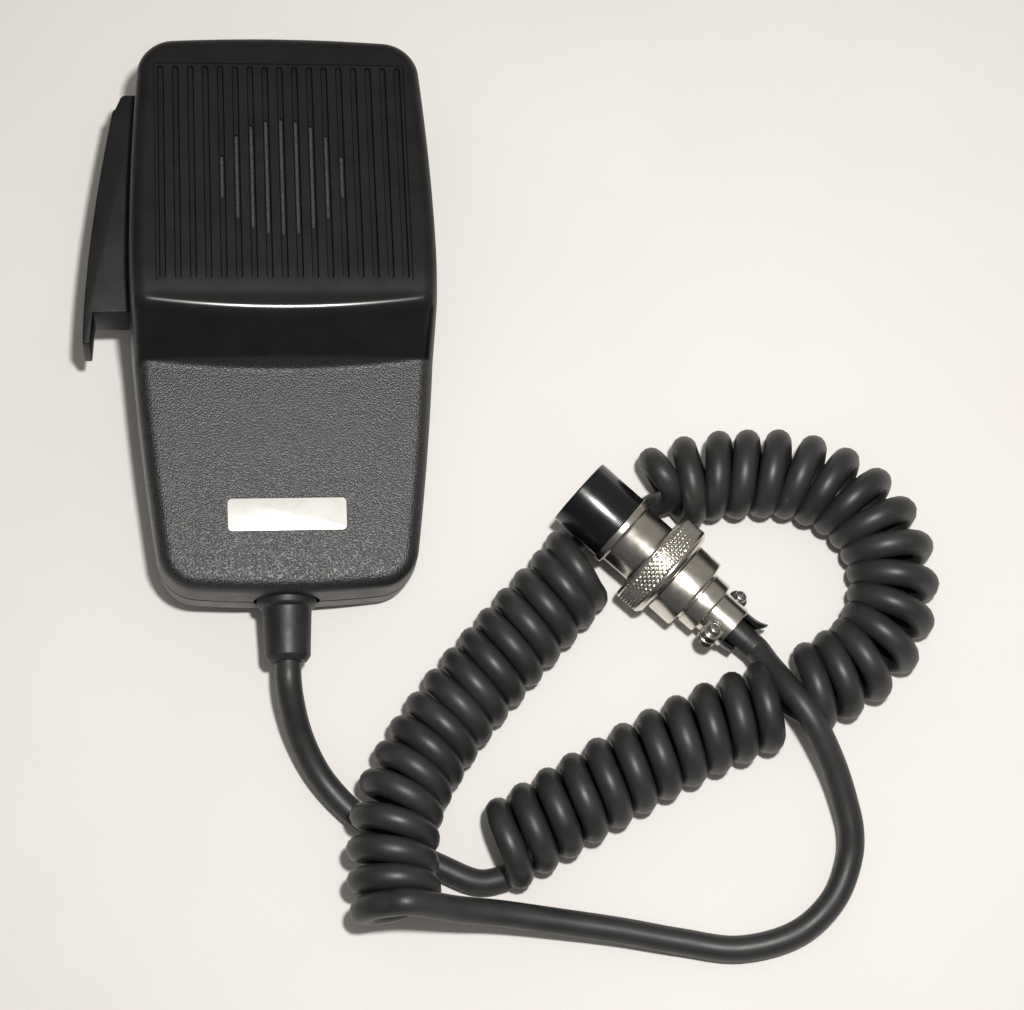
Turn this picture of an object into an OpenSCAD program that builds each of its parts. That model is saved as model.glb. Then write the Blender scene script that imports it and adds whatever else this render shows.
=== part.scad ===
// Hand microphone for a two-way radio: a two-shell moulded case with a side
// press-to-talk lever, a curly cord and a four-pole locking plug. The case lies
// on its back, rolled onto its right rear edge and its hang button, and the
// plug rests on its coupling ring with its barrel over a spread turn of the
// coil. Z = 0 is the surface it lies on, +Y runs from the cord end to the
// grille end.

/* [Case] */
// Width of the case at its widest
case_w = 57.2; // [56.6:0.2:57.8]
// Height of the crest above the grille's lower end, over the back
crest_h = 28.6; // [28:0.2:29.2]
// Height of the lower face at the foot of the step
foot_h = 19.2; // [18.6:0.2:19.8]
// Height of the parting line over the back
parting_h = 8.5; // [8.1:0.1:8.9]
// Moulded wall thickness
wall = 1.8; // [1.6:0.1:2]
// Roll of the resting case onto its right rear edge, in degrees
roll = 10; // [9:0.5:11]

/* [Grille] */
// Number of grooves across the grille
groove_count = 17; // [15:2:17]
// Distance from groove to groove
groove_pitch = 2.75; // [2.6:0.05:2.8]
// Width of one groove
groove_w = 1.35; // [1.2:0.05:1.5]
// Radius of the circle in which the grooves are open
open_r = 11.8; // [11:0.2:12.4]

/* [Press-to-talk lever] */
// Height of the lever, across the side of the case
lever_h = 11; // [10.6:0.2:11]
// Thickness of the lever's pressed plate
lever_t = 1.7; // [1.5:0.1:1.9]
// Diameter of the lever's pivot pin
pin_d = 2.2; // [2:0.1:2.4]

/* [Cord] */
// Diameter of the cord
cord_d = 4.8; // [4.6:0.1:4.8]
// Outer diameter of the curly stretch
coil_od = 16.8; // [16.4:0.1:16.8]

/* [Plug] */
// Diameter of the insulating barrel that enters the socket
barrel_d = 13.4; // [13.2:0.1:13.6]
// Length of the insulating barrel
barrel_l = 10.2; // [10:0.1:10.4]
// Diameter of the plain metal sleeve under the coupling ring
sleeve_d = 12.5; // [12.4:0.1:12.7]
// Outside diameter of the coupling ring
ring_d = 19.3; // [19.1:0.1:19.5]
// Length of the coupling ring
ring_l = 5.7; // [5.6:0.1:5.9]

/* [Hidden] */

$fn = 48;

black_plastic = [0.09, 0.09, 0.1];
black_rubber = [0.06, 0.06, 0.065];
bright_nickel = [0.82, 0.8, 0.76];
steel = [0.62, 0.62, 0.64];
brass = [0.8, 0.65, 0.3];

fit = 0.05;             // radial gap of a running fit

// ---- case outline, before its ends are bowed -------------------------------
y_low = -51.2;          // cord end
y_top = 52.2;           // grille end
y_wide = 8;             // where the case is widest
low_taper = 5.6;          // loss of half width towards the cord end
top_taper = 2.4;        // loss of half width towards the grille end
corner_r = 7;           // corner radius seen from the front
corner_steps = 4;
across = 10;            // faces across the case
fillet_levels = 5;      // rings from the wall up onto the face
bow_ref = 24.5;         // half width at which the bow is zero
bow_low = 1.6;          // sag of the middle towards the cord end
bow_top = 1;            // rise of the middle at the grille end

// ---- face profile along Y ---------------------------------------------------
crest_y = -1.5;
foot_y = -10;
grille_slope = 0.077;   // fall per mm from the crest to the grille end
low_slope = 0.0364;     // fall per mm from the foot to the cord end
crest_soft = 1.6;
foot_soft = 0.6;
edge_top_r = 2.8;       // front edge radius beside the grille
edge_low_r = 3;         // front edge radius beside the lower face
back_edge_r = 1.5;
front_draft = 2.2;
back_draft = 3;
grille_tilt = atan(grille_slope);

function clamped(v, low, high) = min(max(v, low), high);
function soft_min(a, b, k) = min(a, b) - pow(max(k - abs(a - b), 0), 2) / (4 * k);
function half_w(y) = y > y_wide
    ? case_w / 2 - top_taper * pow((y - y_wide) / (y_top - y_wide), 1.8)
    : case_w / 2 - low_taper * pow((y_wide - y) / (y_wide - y_low), 1.6);
// Direction of the outward normal on the right-hand side
function side_dir(y) = atan(half_w(y - 0.5) - half_w(y + 0.5));
function upper_h(y) = crest_h - grille_slope * (y - crest_y);
function band_h(y) = crest_h + (crest_h - foot_h) / (crest_y - foot_y) * (y - crest_y);
function lower_h(y) = foot_h + low_slope * (y - foot_y);
function face_h(y) = -soft_min(-soft_min(upper_h(y), band_h(y), crest_soft), -lower_h(y), foot_soft);
function edge_r(y) = edge_low_r
    + (edge_top_r - edge_low_r) * clamped((y - foot_y) / (crest_y - foot_y), 0, 1);

low_tan = y_low + corner_r * (1 + sin(side_dir(y_low + corner_r)));
top_tan = y_top - corner_r * (1 - sin(side_dir(y_top - corner_r)));
function corner_mid(y) = [half_w(y) - corner_r * cos(side_dir(y)), y - corner_r * sin(side_dir(y))];
function on_corner(c, a) = [c[0] + corner_r * cos(a), c[1] + corner_r * sin(a), a];

// Stations from the cord end to the grille end: [half width, y, normal direction]
stations = concat(
    [for (k = [0 : corner_steps - 1])
        on_corner(corner_mid(low_tan), -90 + (90 + side_dir(low_tan)) * k / corner_steps)],
    [for (y = concat(
        [for (k = [0 : 5]) low_tan + (foot_y - 1.5 - low_tan) * k / 5],
        [for (s = [-0.6, 0, 0.6, 1.5, 3.6, 5.6, 7, 7.8, 8.4, 9, 9.8, 10.7]) foot_y + s],
        [for (k = [1 : 6]) crest_y + 2.2 + (top_tan - crest_y - 2.2) * k / 6]))
        [half_w(y), y, side_dir(y)]],
    [for (k = [1 : corner_steps])
        on_corner(corner_mid(top_tan), side_dir(top_tan) + (90 - side_dir(top_tan)) * k / corner_steps)]
);
rows = len(stations);
loop_n = 2 * rows + 2 * (across - 1);

function shell_h(y, back) = back ? parting_h : face_h(y) - parting_h;

// A point on a station's edge: depth t inside the wall, level m of the edge rings
function edge_point(s, t, m, back) =
    let (h = shell_h(s[1], back) - t,
         r = max((back ? back_edge_r : edge_r(s[1])) - t, 0.5),
         a = 90 * (m - 1) / (fillet_levels - 1),
         lean = (h - r) * tan(back ? back_draft : front_draft),
         inset = t + (m == 0 ? 0 : lean + r * (1 - cos(a))),
         z = m == 0 ? 0 : h - r + r * sin(a))
    [s[0] - inset * cos(s[2]), s[1] - inset * sin(s[2]), z];
function across_row(p) = [for (i = [1 : across - 1]) [p[0] * (2 * i / across - 1), p[1], p[2]]];
function reversed(v) = [for (i = [len(v) - 1 : -1 : 0]) v[i]];
// One ring of the case, clockwise from the cord end of the left side
function edge_ring(t, m, back) =
    let (side = [for (s = stations) edge_point(s, t, m, back)])
    concat([for (p = side) [-p[0], p[1], p[2]]], across_row(side[rows - 1]),
           reversed(side), reversed(across_row(side[0])));
function face_rows(t, back) = [for (j = [1 : rows - 2])
    let (p = edge_point(stations[j], t, fillet_levels, back)) each across_row(p)];
function skin_points(t, back) =
    concat([for (m = [0 : fillet_levels]) each edge_ring(t, m, back)], face_rows(t, back));
function bowed(p) =
    let (bow = p[1] < 0 ? -bow_low : -bow_low + (bow_low + bow_top) * pow(p[1] / y_top, 2))
    [p[0], p[1] + bow * (1 - pow(p[0] / bow_ref, 2)), p[2]];

// Index in a skin of the face point in row j, column i
function face_index(j, i) =
    let (last = fillet_levels * loop_n)
    i == 0 ? last + j
    : i == across ? last + 2 * rows - 2 + across - j
    : j == rows - 1 ? last + rows - 1 + i
    : j == 0 ? last + 2 * rows - 2 + 2 * across - i
    : last + loop_n + (j - 1) * (across - 1) + i - 1;
function quad(a, b, c, d) = [[a, b, c], [a, c, d]];
function skin_faces() = concat(
    [for (m = [0 : fillet_levels - 1], k = [0 : loop_n - 1])
        let (next = (k + 1) % loop_n, base = m * loop_n)
        each quad(base + k, base + next, base + loop_n + next, base + loop_n + k)],
    [for (j = [0 : rows - 2], i = [0 : across - 1])
        each quad(face_index(j, i), face_index(j + 1, i), face_index(j + 1, i + 1), face_index(j, i + 1))]);

// One shell standing on the parting plane, open below
module shell_skin(back) {
    outer = skin_points(0, back);
    inner = skin_points(wall, back);
    n = len(outer);
    rim = [for (k = [0 : loop_n - 1])
        let (next = (k + 1) % loop_n) each quad(k, n + k, n + next, next)];
    polyhedron([for (p = concat(outer, inner)) bowed(p)],
        concat(skin_faces(), [for (f = skin_faces()) [for (v = reversed(f)) v + n]], rim),
        convexity = 10);
}

// ---- lever outline --------------------------------------------------------------
lever_z = 4;            // lower edge of the lever, over the back
lever_tip_y = -5;
lever_end_y = 1.1;      // outside of the end wall
lever_top_y = 44.2;
lever_inner_x = -25.4;  // reach of the lever's walls into the case
lever_wall = 1.4;
barrel_r = 2.5;
function lever_x(y) = -36.8 + 6.6 * pow((y - lever_tip_y) / 50, 1.6);

// ---- how the case lies, and where the origin falls --------------------------
rest_r = back_edge_r;
rest_x = case_w / 2 - (parting_h - rest_r) * tan(back_draft) - rest_r;
lift = rest_x * sin(roll) + rest_r * (1 - cos(roll));
// Sideways reach of the rolled case and its lever, whose middle is the origin
front_lean = (face_h(y_wide) - edge_top_r - parting_h) * tan(front_draft);
right_reach = (case_w / 2 - front_lean - edge_top_r) * cos(roll)
    + (face_h(y_wide) - edge_top_r) * sin(roll) + edge_top_r;
left_reach = -lever_x(lever_tip_y) * cos(roll) - lever_z * sin(roll);
boot_tip_y = -64;
origin_x = (left_reach - right_reach) / 2;
origin_y = -(boot_tip_y + y_top + bow_top) / 2;

module on_table() translate([origin_x, origin_y, 0]) children();
module lie() on_table() translate([0, 0, lift]) rotate([0, roll, 0]) children();
// Frame on the inner surface under the grille's middle, Z out of the face
capsule_y = 24;
module at_capsule() translate([0, capsule_y, upper_h(capsule_y + bow_low) - wall])
    rotate([-grille_tilt, 0, 0]) children();
module under_grille() lie() at_capsule() children();

// ---- places inside the case --------------------------------------------------
screw_places = [[-14, 45.5], [14, 45.5], [-15.5, -44.5], [15.5, -44.5]];
pivot = [-22.8, 42];
boot_x = -0.4;
boot_z = 8.8;
boot_hole_r = 6.1;
button_y = 4;
button_r = 5.5;
button_chamfer = 0.4;
button_out = (lift - (button_r - button_chamfer) * sin(roll)) / cos(roll);
screw_r = 1.4;
spring_seat_x = -21.5;
spring_y = 24;
switch_y = 14;
switch_top = 11.4;
switch_ear_y = [3.2, 24.8];

// Slot in both shells for the lever
module lever_opening() translate([-34, -0.6, lever_z - 0.4]) cube([11, 45.8, lever_h + 0.8]);

module screw_hole(r, low, high) translate([0, 0, low]) cylinder(r = r, h = high - low, $fn = 24);
module boot_hole() translate([boot_x, -46, boot_z]) rotate([90, 0, 0])
    cylinder(r = boot_hole_r, h = 12, $fn = 36);

module grille_grooves() {
    floor_depth = 1.2;
    difference() {
        for (i = [0 : groove_count - 1]) let (x = (i - (groove_count - 1) / 2) * groove_pitch)
            translate([x - groove_w / 2, 3, -floor_depth]) cube([groove_w, 43.2, 6]);
        translate([-40, -2, -40]) cube([80, 80, 40 - floor_depth]);
    }
    intersection() {
        for (i = [-4 : 4]) translate([i * groove_pitch - groove_w / 2, 3, -4])
            cube([groove_w, 43.2, 6]);
        translate([0, capsule_y, -5]) cylinder(r = open_r, h = 8, $fn = 40);
    }
}

// Scaling by nothing keeps the moulding one continuous surface
module moulded() resize([0, 0, 0]) children();

module front_shell() color(black_plastic) lie() moulded() difference() {
    union() {
        translate([0, 0, parting_h]) shell_skin(false);
        for (p = screw_places) translate([p[0], p[1], parting_h + 0.1])
            cylinder(r = 2.9, h = face_h(p[1]) - parting_h - wall + 0.4, $fn = 24);
        translate([pivot[0], pivot[1], lever_z + lever_h + 0.5])
            cylinder(r = 2.2, h = upper_h(pivot[1]) - wall - lever_z - lever_h, $fn = 24);
        capsule_wall();
    }
    translate([0, crest_y, crest_h]) rotate([-grille_tilt, 0, 0]) translate([0, -crest_y, 0])
        grille_grooves();
    lever_opening();
    boot_hole();
    label_pocket();
    for (p = screw_places) translate([p[0], p[1], 0]) screw_hole(screw_r + 0.1, 0, 15);
    translate([pivot[0], pivot[1], 0]) screw_hole(pin_d / 2 + 0.1, 0, 18.2);
}
// Collar that holds the capsule, on the inside of the face
module capsule_wall() at_capsule() translate([0, 0, -6]) difference() {
        cylinder(r = 15.6, h = 6.4, $fn = 40);
        translate([0, 0, -1]) cylinder(r = 14.3, h = 8, $fn = 40);
    }

module rear_shell() color(black_plastic) lie() moulded() difference() {
    union() {
        translate([0, 0, parting_h]) mirror([0, 0, 1]) shell_skin(true);
        for (p = screw_places) translate([p[0], p[1], 0.3])
            cylinder(r = 3.6, h = parting_h - 0.3, $fn = 24);
        translate([pivot[0], pivot[1], 0.5]) cylinder(r = 2.2, h = lever_z - 1, $fn = 24);
        translate([0, button_y, 0.5]) cylinder(r = 3.5, h = 6.5, $fn = 24);
        for (y = switch_ear_y) translate([-12, y, 0.5]) cylinder(r = 2, h = 2.9, $fn = 24);
        translate([spring_seat_x, spring_y - 3.5, 0.5]) cube([1.5, 7, 12]);
    }
    lever_opening();
    boot_hole();
    for (p = screw_places) translate([p[0], p[1], 0]) {
        screw_hole(2.8, -1, 3.2);
        screw_hole(screw_r + 0.1, -1, 12);
    }
    translate([pivot[0], pivot[1], 0]) screw_hole(pin_d / 2 + 0.1, 1.8, 12);
    translate([0, button_y, 0]) screw_hole(screw_r + 0.1, -1, 6.4);
    for (y = switch_ear_y) translate([-12, y, 0]) screw_hole(0.95, 1, 6);
}

// ---- label --------------------------------------------------------------------
label_w = 21.5;
label_l = 6;
label_y = -38.5;
module on_lower_face() translate([-0.3, label_y, lower_h(label_y + bow_low)])
    rotate([atan(low_slope), 0, 0]) children();
module label_outline(w, l) hull() for (x = [-1, 1], y = [-1, 1])
    translate([x * (w / 2 - 0.8), y * (l / 2 - 0.8)]) circle(r = 0.8, $fn = 24);
module label_pocket() on_lower_face() translate([0, 0, -0.4])
    linear_extrude(2) label_outline(label_w + 0.3, label_l + 0.3);
module label_plate() color(bright_nickel) lie() on_lower_face() translate([0, 0, -0.4])
    linear_extrude(0.55) label_outline(label_w, label_l);

// ---- fasteners ------------------------------------------------------------------
// A pan-head screw, head down at z = 0, shank up; the cross recess is in the head
module pan_screw(head_r, head_h, shank_r, len) difference() {
    union() {
        rotate_extrude() polygon([[0, 0], [head_r - 0.5, 0], [head_r, 0.6], [head_r, head_h], [0, head_h]]);
        cylinder(r = shank_r, h = len);
    }
    for (a = [0, 90]) rotate([0, 0, a]) translate([-head_r * 0.6, -0.3, -1])
        cube([head_r * 1.2, 0.6, 1 + head_h * 0.6]);
}
module case_screws() color(steel) lie() for (p = screw_places)
    translate([p[0], p[1], 1.4]) pan_screw(2.6, 1.8, screw_r, 12.5);

// ---- capsule ----------------------------------------------------------------------
capsule_r = 13.5;
module grille_cloth() color([0.3, 0.3, 0.32])
    under_grille() translate([0, 0, -0.55]) cylinder(r = 13.4, h = 0.5);
module capsule_gasket() color(black_rubber) under_grille() translate([0, 0, -2]) difference() {
    cylinder(r = 13.9, h = 1.4);
    translate([0, 0, -1]) cylinder(r = 12, h = 4);
}
module capsule_cover() color(steel) under_grille() translate([0, 0, -2.6]) difference() {
    cylinder(r = 12.6, h = 0.5);
    for (ring = [1 : 2], k = [0 : 6 * ring - 1]) rotate([0, 0, k * 60 / ring])
        translate([ring * 4.2, 0, -1]) cylinder(r = 0.8, h = 3, $fn = 16);
}
module capsule_diaphragm() color([0.85, 0.8, 0.6]) under_grille() translate([0, 0, -3.5])
    rotate_extrude() polygon([[0, 0.4], [5, 0], [12.5, 0], [12.5, 0.15], [5, 0.2], [0, 0.6]]);
module voice_coil() color([0.7, 0.35, 0.15]) under_grille() translate([0, 0, -6.6]) difference() {
    cylinder(r = 4.6, h = 3);
    translate([0, 0, -1]) cylinder(r = 4.1, h = 6);
}
module capsule_magnet() color(steel) under_grille() translate([0, 0, -9.8]) difference() {
    cylinder(r = 9, h = 5.6);
    translate([0, 0, 1.6]) difference() {
        cylinder(r = 5.2, h = 5);
        translate([0, 0, -1]) cylinder(r = 3.6, h = 7);
    }
}
module capsule_housing() color([0.7, 0.7, 0.72]) under_grille() translate([0, 0, -10.6]) difference() {
    cylinder(r = capsule_r, h = 8.6);
    translate([0, 0, 0.8]) cylinder(r = capsule_r - 0.8, h = 10);
}
module capsule_terminals() color(brass) under_grille() for (x = [-4, 4]) translate([x - 1, -9, -11.4])
    cube([2, 3.5, 0.8]);

// ---- press-to-talk lever and switch --------------------------------------------------
lever_outer_edge = [for (k = [0 : 12]) let (y = lever_tip_y + 46 * k / 12) [lever_x(y), y]];
module lever_outline() polygon(concat(lever_outer_edge,
    [[lever_x(41) + 0.5, 41.4], [-29.5, 43.8], [-28.8, lever_top_y], [lever_inner_x, lever_top_y],
     [lever_inner_x, lever_end_y], [lever_x(lever_end_y) + lever_t, lever_end_y],
     [lever_x(lever_tip_y) + lever_t - 0.3, lever_tip_y]]));
module lever_hollow() polygon(concat(
    [for (k = [0 : 8]) let (y = lever_end_y + lever_wall + 36.5 * k / 8) [lever_x(y) + lever_t, y]],
    [[-20, lever_end_y + lever_wall + 36.5], [-20, lever_end_y + lever_wall]]));
pusher_x = -27;
module ptt_lever() color(black_plastic) lie() translate([0, 0, lever_z]) difference() {
    union() {
        difference() {
            linear_extrude(lever_h) lever_outline();
            translate([0, 0, lever_wall]) linear_extrude(lever_h - 2 * lever_wall) lever_hollow();
        }
        translate([lever_x(switch_y) + 1, switch_y - 1.5, 4])
            cube([pusher_x - lever_x(switch_y) - 1, 3, 3]);
        translate([-27, pivot[1] - 2, 0]) cube([27 + pivot[0], 4, lever_h]);
        translate([pivot[0], pivot[1], 0]) cylinder(r = barrel_r, h = lever_h);
    }
    translate([pivot[0], pivot[1], -1]) cylinder(r = pin_d / 2 + fit, h = lever_h + 2);
}
module lever_pivot_pin() color(steel) lie() translate([pivot[0], pivot[1], 1.9])
    cylinder(d = pin_d, h = 16.2);

spring_x0 = lever_x(spring_y) + lever_t + 0.45;
spring_turns = 7;
module lever_spring() color(steel) lie() translate([spring_x0, spring_y, lever_z + lever_h / 2])
    sweep([for (k = [0 : 12 * spring_turns]) let (a = 30 * k)
        [0.3 + (spring_seat_x - spring_x0 - 0.8) * k / (12 * spring_turns), 2.4 * cos(a), 2.4 * sin(a)]],
        0.3, 6);

plunger_tip_x = pusher_x + 0.15;
module switch_body() color([0.12, 0.12, 0.12]) lie() difference() {
    union() {
        translate([-18, 5, 4.6]) cube([11.5, 18, switch_top - 4.6]);
        translate([-14.5, 1.2, 3.4]) cube([5, 25.6, 1.2]);
    }
    translate([-19, switch_y - 1.8, 7.7]) cube([11.2, 3.6, 3.6 - 0.001]);
    for (y = switch_ear_y) translate([-12, y, 0]) cylinder(r = 1, h = 6);
}
module switch_plunger() color([0.9, 0.9, 0.88]) lie()
    translate([plunger_tip_x, switch_y - 1.5, 8]) cube([14.8, 3, 3]);
module switch_terminals() color(brass) lie() for (y = [9, 14, 19], z = [6, 9])
    translate([-6.5, y - 0.4, z]) cube([2.5, 0.8, 0.4]);
module switch_screws() color(steel) lie() for (y = switch_ear_y)
    translate([-12, y, 5.8]) mirror([0, 0, 1]) pan_screw(1.7, 1.2, 0.9, 4.6);

// ---- hang button ------------------------------------------------------------------------
module hang_button() color([0.5, 0.5, 0.52]) lie() translate([0, button_y, 0]) mirror([0, 0, 1])
    difference() {
        rotate_extrude() polygon([[0, 0], [3.6, 0], [3.6, button_out - 2.2],
            [button_r, button_out - 1.9], [button_r, button_out - button_chamfer],
            [button_r - button_chamfer, button_out], [0, button_out]]);
        translate([0, 0, -1]) cylinder(r = screw_r + 0.1, h = 8);
        translate([0, 0, button_out - 2]) cylinder(r = 2.8, h = 4);
    }
module hang_button_screw() color(steel) lie() translate([0, button_y, -button_out + 0.2])
    pan_screw(2.6, 1.8, screw_r, 9.2);

// ---- cord parts in the case -----------------------------------------------------------------
module along_boot() lie() translate([boot_x, 0, boot_z]) rotate([90, 0, 0]) children();
module cord_boot() color(black_rubber) along_boot() difference() {
    rotate_extrude() polygon([[0, 48.2], [6.8, 48.2], [6.8, 49.8], [5.5, 49.8], [5.5, 53.8], [4.6, 54],
        [4.2, 61.6], [3.4, -boot_tip_y], [0, -boot_tip_y]]);
    translate([0, 0, 40]) cylinder(d = cord_d + 0.1, h = 40);
}
module cord_case_end() color(black_rubber) along_boot() translate([0, 0, 38])
    cylinder(d = cord_d, h = -boot_tip_y - 38);
module cord_tie() color([0.85, 0.85, 0.82]) along_boot() translate([0, 0, 43]) difference() {
    union() {
        cylinder(r = 3.6, h = 2.5);
        translate([-1.6, 2.5, 0]) cube([3.2, 3, 2.5]);
    }
    translate([0, 0, -1]) cylinder(d = cord_d + 0.1, h = 5);
}

wire_r = 0.6;
module wire(path) lie() sweep(path, wire_r, 8);
module wire_red() color("firebrick")
    wire([[-1.6, -37.8, 9.4], [-2.6, -32, 10], [-5, -22, 9.4], [-6.2, -10, 8.6],
        [-5.6, 0, 8.8], [-3.6, 6, 9.2], [-3.2, 8.8, 9.2]]);
module wire_white() color("white")
    wire([[0.6, -37.8, 10.4], [0.8, -30, 11.6], [-0.4, -18, 11], [-1.6, -4, 10.4],
        [-1.6, 8, 10.4], [-3, 13.8, 9.2]]);
module wire_black() color("dimgray")
    wire([[0.8, -37.8, 8], [2.6, -30, 7.2], [4.6, -16, 7.6], [5.8, 0, 8.6],
        [5.6, 8, 9.6], [4.2, 13, 11.4]]);

// ---- plug -----------------------------------------------------------------------------------
// Plug frame: Z forward along its axis from the barrel's front face
plug_front = [55.7, -35, 13.85];
plug_yaw = 135.7;
plug_pitch = 8;
module plug_place() on_table() translate(plug_front) rotate([0, 90 - plug_pitch, plug_yaw]) children();
// A ring of revolution from z = -from down to z = -to
module tube(r, bore_r, from, to) translate([0, 0, -to]) difference() {
    cylinder(r = r, h = to - from);
    translate([0, 0, -1]) cylinder(r = bore_r, h = to - from + 2);
}
flange_d = 14.3;
flange_end = barrel_l + 1.3;
ring_from = 17.6;
ring_to = ring_from + ring_l;
sleeve_to = ring_to + 0.3;
shell_to = sleeve_to + 5.1;
neck_to = 32.6;
clamp_to = 38;
cord_from = 41.2;
sleeve_bore_r = 5.4;
lip_t = 1.5;
ring_bore_r = 7.45;
contact_pcd = 7.4;
clamp_turn = 35;        // about the plug's axis
clamp_ear_y = 5.4;
clamp_ear_d = 3.6;
clamp_r = 4.3;
module plug_contact_places() for (k = [0 : 3]) rotate([0, 0, 45 + 90 * k])
    translate([contact_pcd / 2, 0, 0]) children();
module plug_insert() color([0.05, 0.05, 0.055]) plug_place() difference() {
    union() {
        translate([0, 0, -barrel_l]) cylinder(d = barrel_d, h = barrel_l);
        translate([0, 0, -17]) cylinder(r = sleeve_bore_r - 0.1, h = 17);
    }
    plug_contact_places() translate([0, 0, -18]) cylinder(r = 1.35, h = 20);
    translate([barrel_d / 2 - 1, -1, -6]) cube([3, 2, 8]);
}
module plug_contacts() color(brass) plug_place() plug_contact_places() difference() {
    translate([0, 0, -19.5]) cylinder(r = 1.3, h = 18.7);
    translate([0, 0, -9]) cylinder(r = 0.9, h = 12);
    translate([-2, 0.2, -20]) cube([4, 3, 2.6]);
}
module plug_sleeve() color(bright_nickel) plug_place() {
    tube(flange_d / 2, sleeve_bore_r, barrel_l, flange_end);
    tube(sleeve_d / 2, sleeve_bore_r, flange_end, sleeve_to);
}
module coupling_ring() color(bright_nickel) plug_place() difference() {
    translate([0, 0, -ring_to]) rotate_extrude() polygon([[0, 0], [ring_d / 2 - 0.9, 0], [ring_d / 2, 0.9],
        [ring_d / 2, ring_l - 0.9], [ring_d / 2 - 0.9, ring_l], [0, ring_l]]);
    translate([0, 0, -ring_to - 1]) cylinder(r = sleeve_d / 2 + 2 * fit, h = ring_l + 2);
    translate([0, 0, -ring_to + lip_t]) cylinder(r = ring_bore_r, h = ring_l);
}
module slip_washer() color(brass) plug_place()
    tube(flange_d / 2, sleeve_d / 2 + 2 * fit, ring_to - lip_t - 0.55, ring_to - lip_t - 0.05);
module plug_rear_shell() color(bright_nickel) plug_place() difference() {
    union() {
        tube(7.3, 1, sleeve_to, shell_to);
        tube(5.4, 1, shell_to, neck_to);
    }
    translate([0, 0, -shell_to + 1]) cylinder(r = 6.1, h = 20);
    translate([0, 0, -neck_to - 1]) cylinder(r = 4.2, h = 20);
}
// Half of the cord clamp: a half ring with an ear on each side
module clamp_half() difference() {
    union() {
        tube(clamp_r, 1, neck_to, clamp_to);
        translate([0.15, -clamp_ear_y, -(neck_to + clamp_to + clamp_ear_d) / 2])
            cube([1.3, 2 * clamp_ear_y, clamp_ear_d]);
        for (s = [-1, 1]) translate([0.15, s * clamp_ear_y, -(neck_to + clamp_to) / 2]) rotate([0, 90, 0])
            cylinder(d = clamp_ear_d, h = 1.3);
    }
    tube(cord_d / 2 + 0.05, 0.001, neck_to - 1, clamp_to + 1);
    translate([-9.85, -9, -clamp_to - 1]) cube([10, 18, clamp_to - neck_to + 2]);
    for (s = [-1, 1]) translate([-1, s * clamp_ear_y, -(neck_to + clamp_to) / 2]) rotate([0, 90, 0])
        cylinder(r = 0.85, h = 4);
}
module clamp_place() plug_place() rotate([0, 0, clamp_turn]) children();
module clamp_saddle() color(bright_nickel) clamp_place() clamp_half();
module clamp_strap() color(bright_nickel) clamp_place() rotate([0, 0, 180]) clamp_half();
module clamp_screws() color(steel) clamp_place() for (s = [-1, 1])
    translate([-2.65, s * clamp_ear_y, -(neck_to + clamp_to) / 2]) rotate([0, 90, 0])
        pan_screw(1.25, 1.2, 0.8, 4.9);
module cord_plug_end() color(black_rubber) plug_place() translate([0, 0, -cord_from])
    cylinder(d = cord_d, h = cord_from - 27);
module cord_sleeve() color(black_rubber) plug_place() tube(4, cord_d / 2 + 0.05, clamp_to, cord_from);

// ---- cord -----------------------------------------------------------------------------------
function unit(v) = v / norm(v);
function tangent(path, k) = unit(path[min(k + 1, len(path) - 1)] - path[max(k - 1, 0)]);
function hoop(path, k, r, sides) =
    let (t = tangent(path, k), s = unit(cross(t, [0, 0, 1])), u = cross(s, t))
    [for (i = [0 : sides - 1]) let (a = 360 * i / sides - 90) path[k] + r * (cos(a) * s + sin(a) * u)];
// A closed round tube along a list of points
module sweep(path, r, sides) {
    n = len(path);
    body = [for (k = [0 : n - 2], i = [0 : sides - 1])
        let (next = (i + 1) % sides, base = k * sides)
        each quad(base + i, base + next, base + sides + next, base + sides + i)];
    start = [for (i = [1 : sides - 2]) [0, i + 1, i]];
    end = [for (i = [1 : sides - 2]) [0, i, i + 1] + (n - 1) * sides * [1, 1, 1]];
    polyhedron([for (k = [0 : n - 1]) each hoop(path, k, r, sides)], concat(body, start, end),
        convexity = 10);
}

boot_tip = [boot_x * cos(roll) + boot_z * sin(roll), boot_tip_y,
    lift - boot_x * sin(roll) + boot_z * cos(roll)];
plug_dir = [cos(plug_yaw) * cos(plug_pitch), sin(plug_yaw) * cos(plug_pitch), sin(plug_pitch)];
plug_back = plug_front - cord_from * plug_dir;

// Lead from the boot down to the table and along to the start of the coil
lead_route = concat([boot_tip, boot_tip - [0, 3, 0]], [
    [1.3, -70.6, 11.8], [2.4, -77, 7.8], [5.4, -84, 4.6], [10.8, -90.6, 3], [18.6, -96.8, 2.4],
    [26.6, -101.4, 2.4], [34, -104.6, 2.4], [38.6, -105.6, 2.4], [42, -104, 2.8], [44.6, -101.6, 4]]);
// Axis of the coil: a loop on the table, parted by the plug, that ends lying over the lead
coil_route = [
    [39.6, -98.4, 8.4], [51, -92.2, 8.4], [64, -85.4, 8.4], [75.6, -80.2, 8.4], [87, -76.2, 8.4],
    [98.4, -72.2, 8.4], [107.8, -66.2, 8.4], [113, -57.6, 8.4], [112.8, -47.6, 8.4], [106.6, -38.8, 8.4],
    [96.4, -33.2, 8.4], [85.4, -31.4, 8.4], [79, -31, 8.4], [73.4, -32.8, 8.4]];
coil_rear_route = [
    [55.5, -48.6, 8.4], [46.8, -57, 8.4], [39, -65, 8.4], [31.3, -73.2, 8.4], [24.8, -82, 9.6],
    [20.4, -90.4, 12], [19, -98, 13.4], [19, -104.6, 12.8], [19.6, -109.8, 11.8]];
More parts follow.
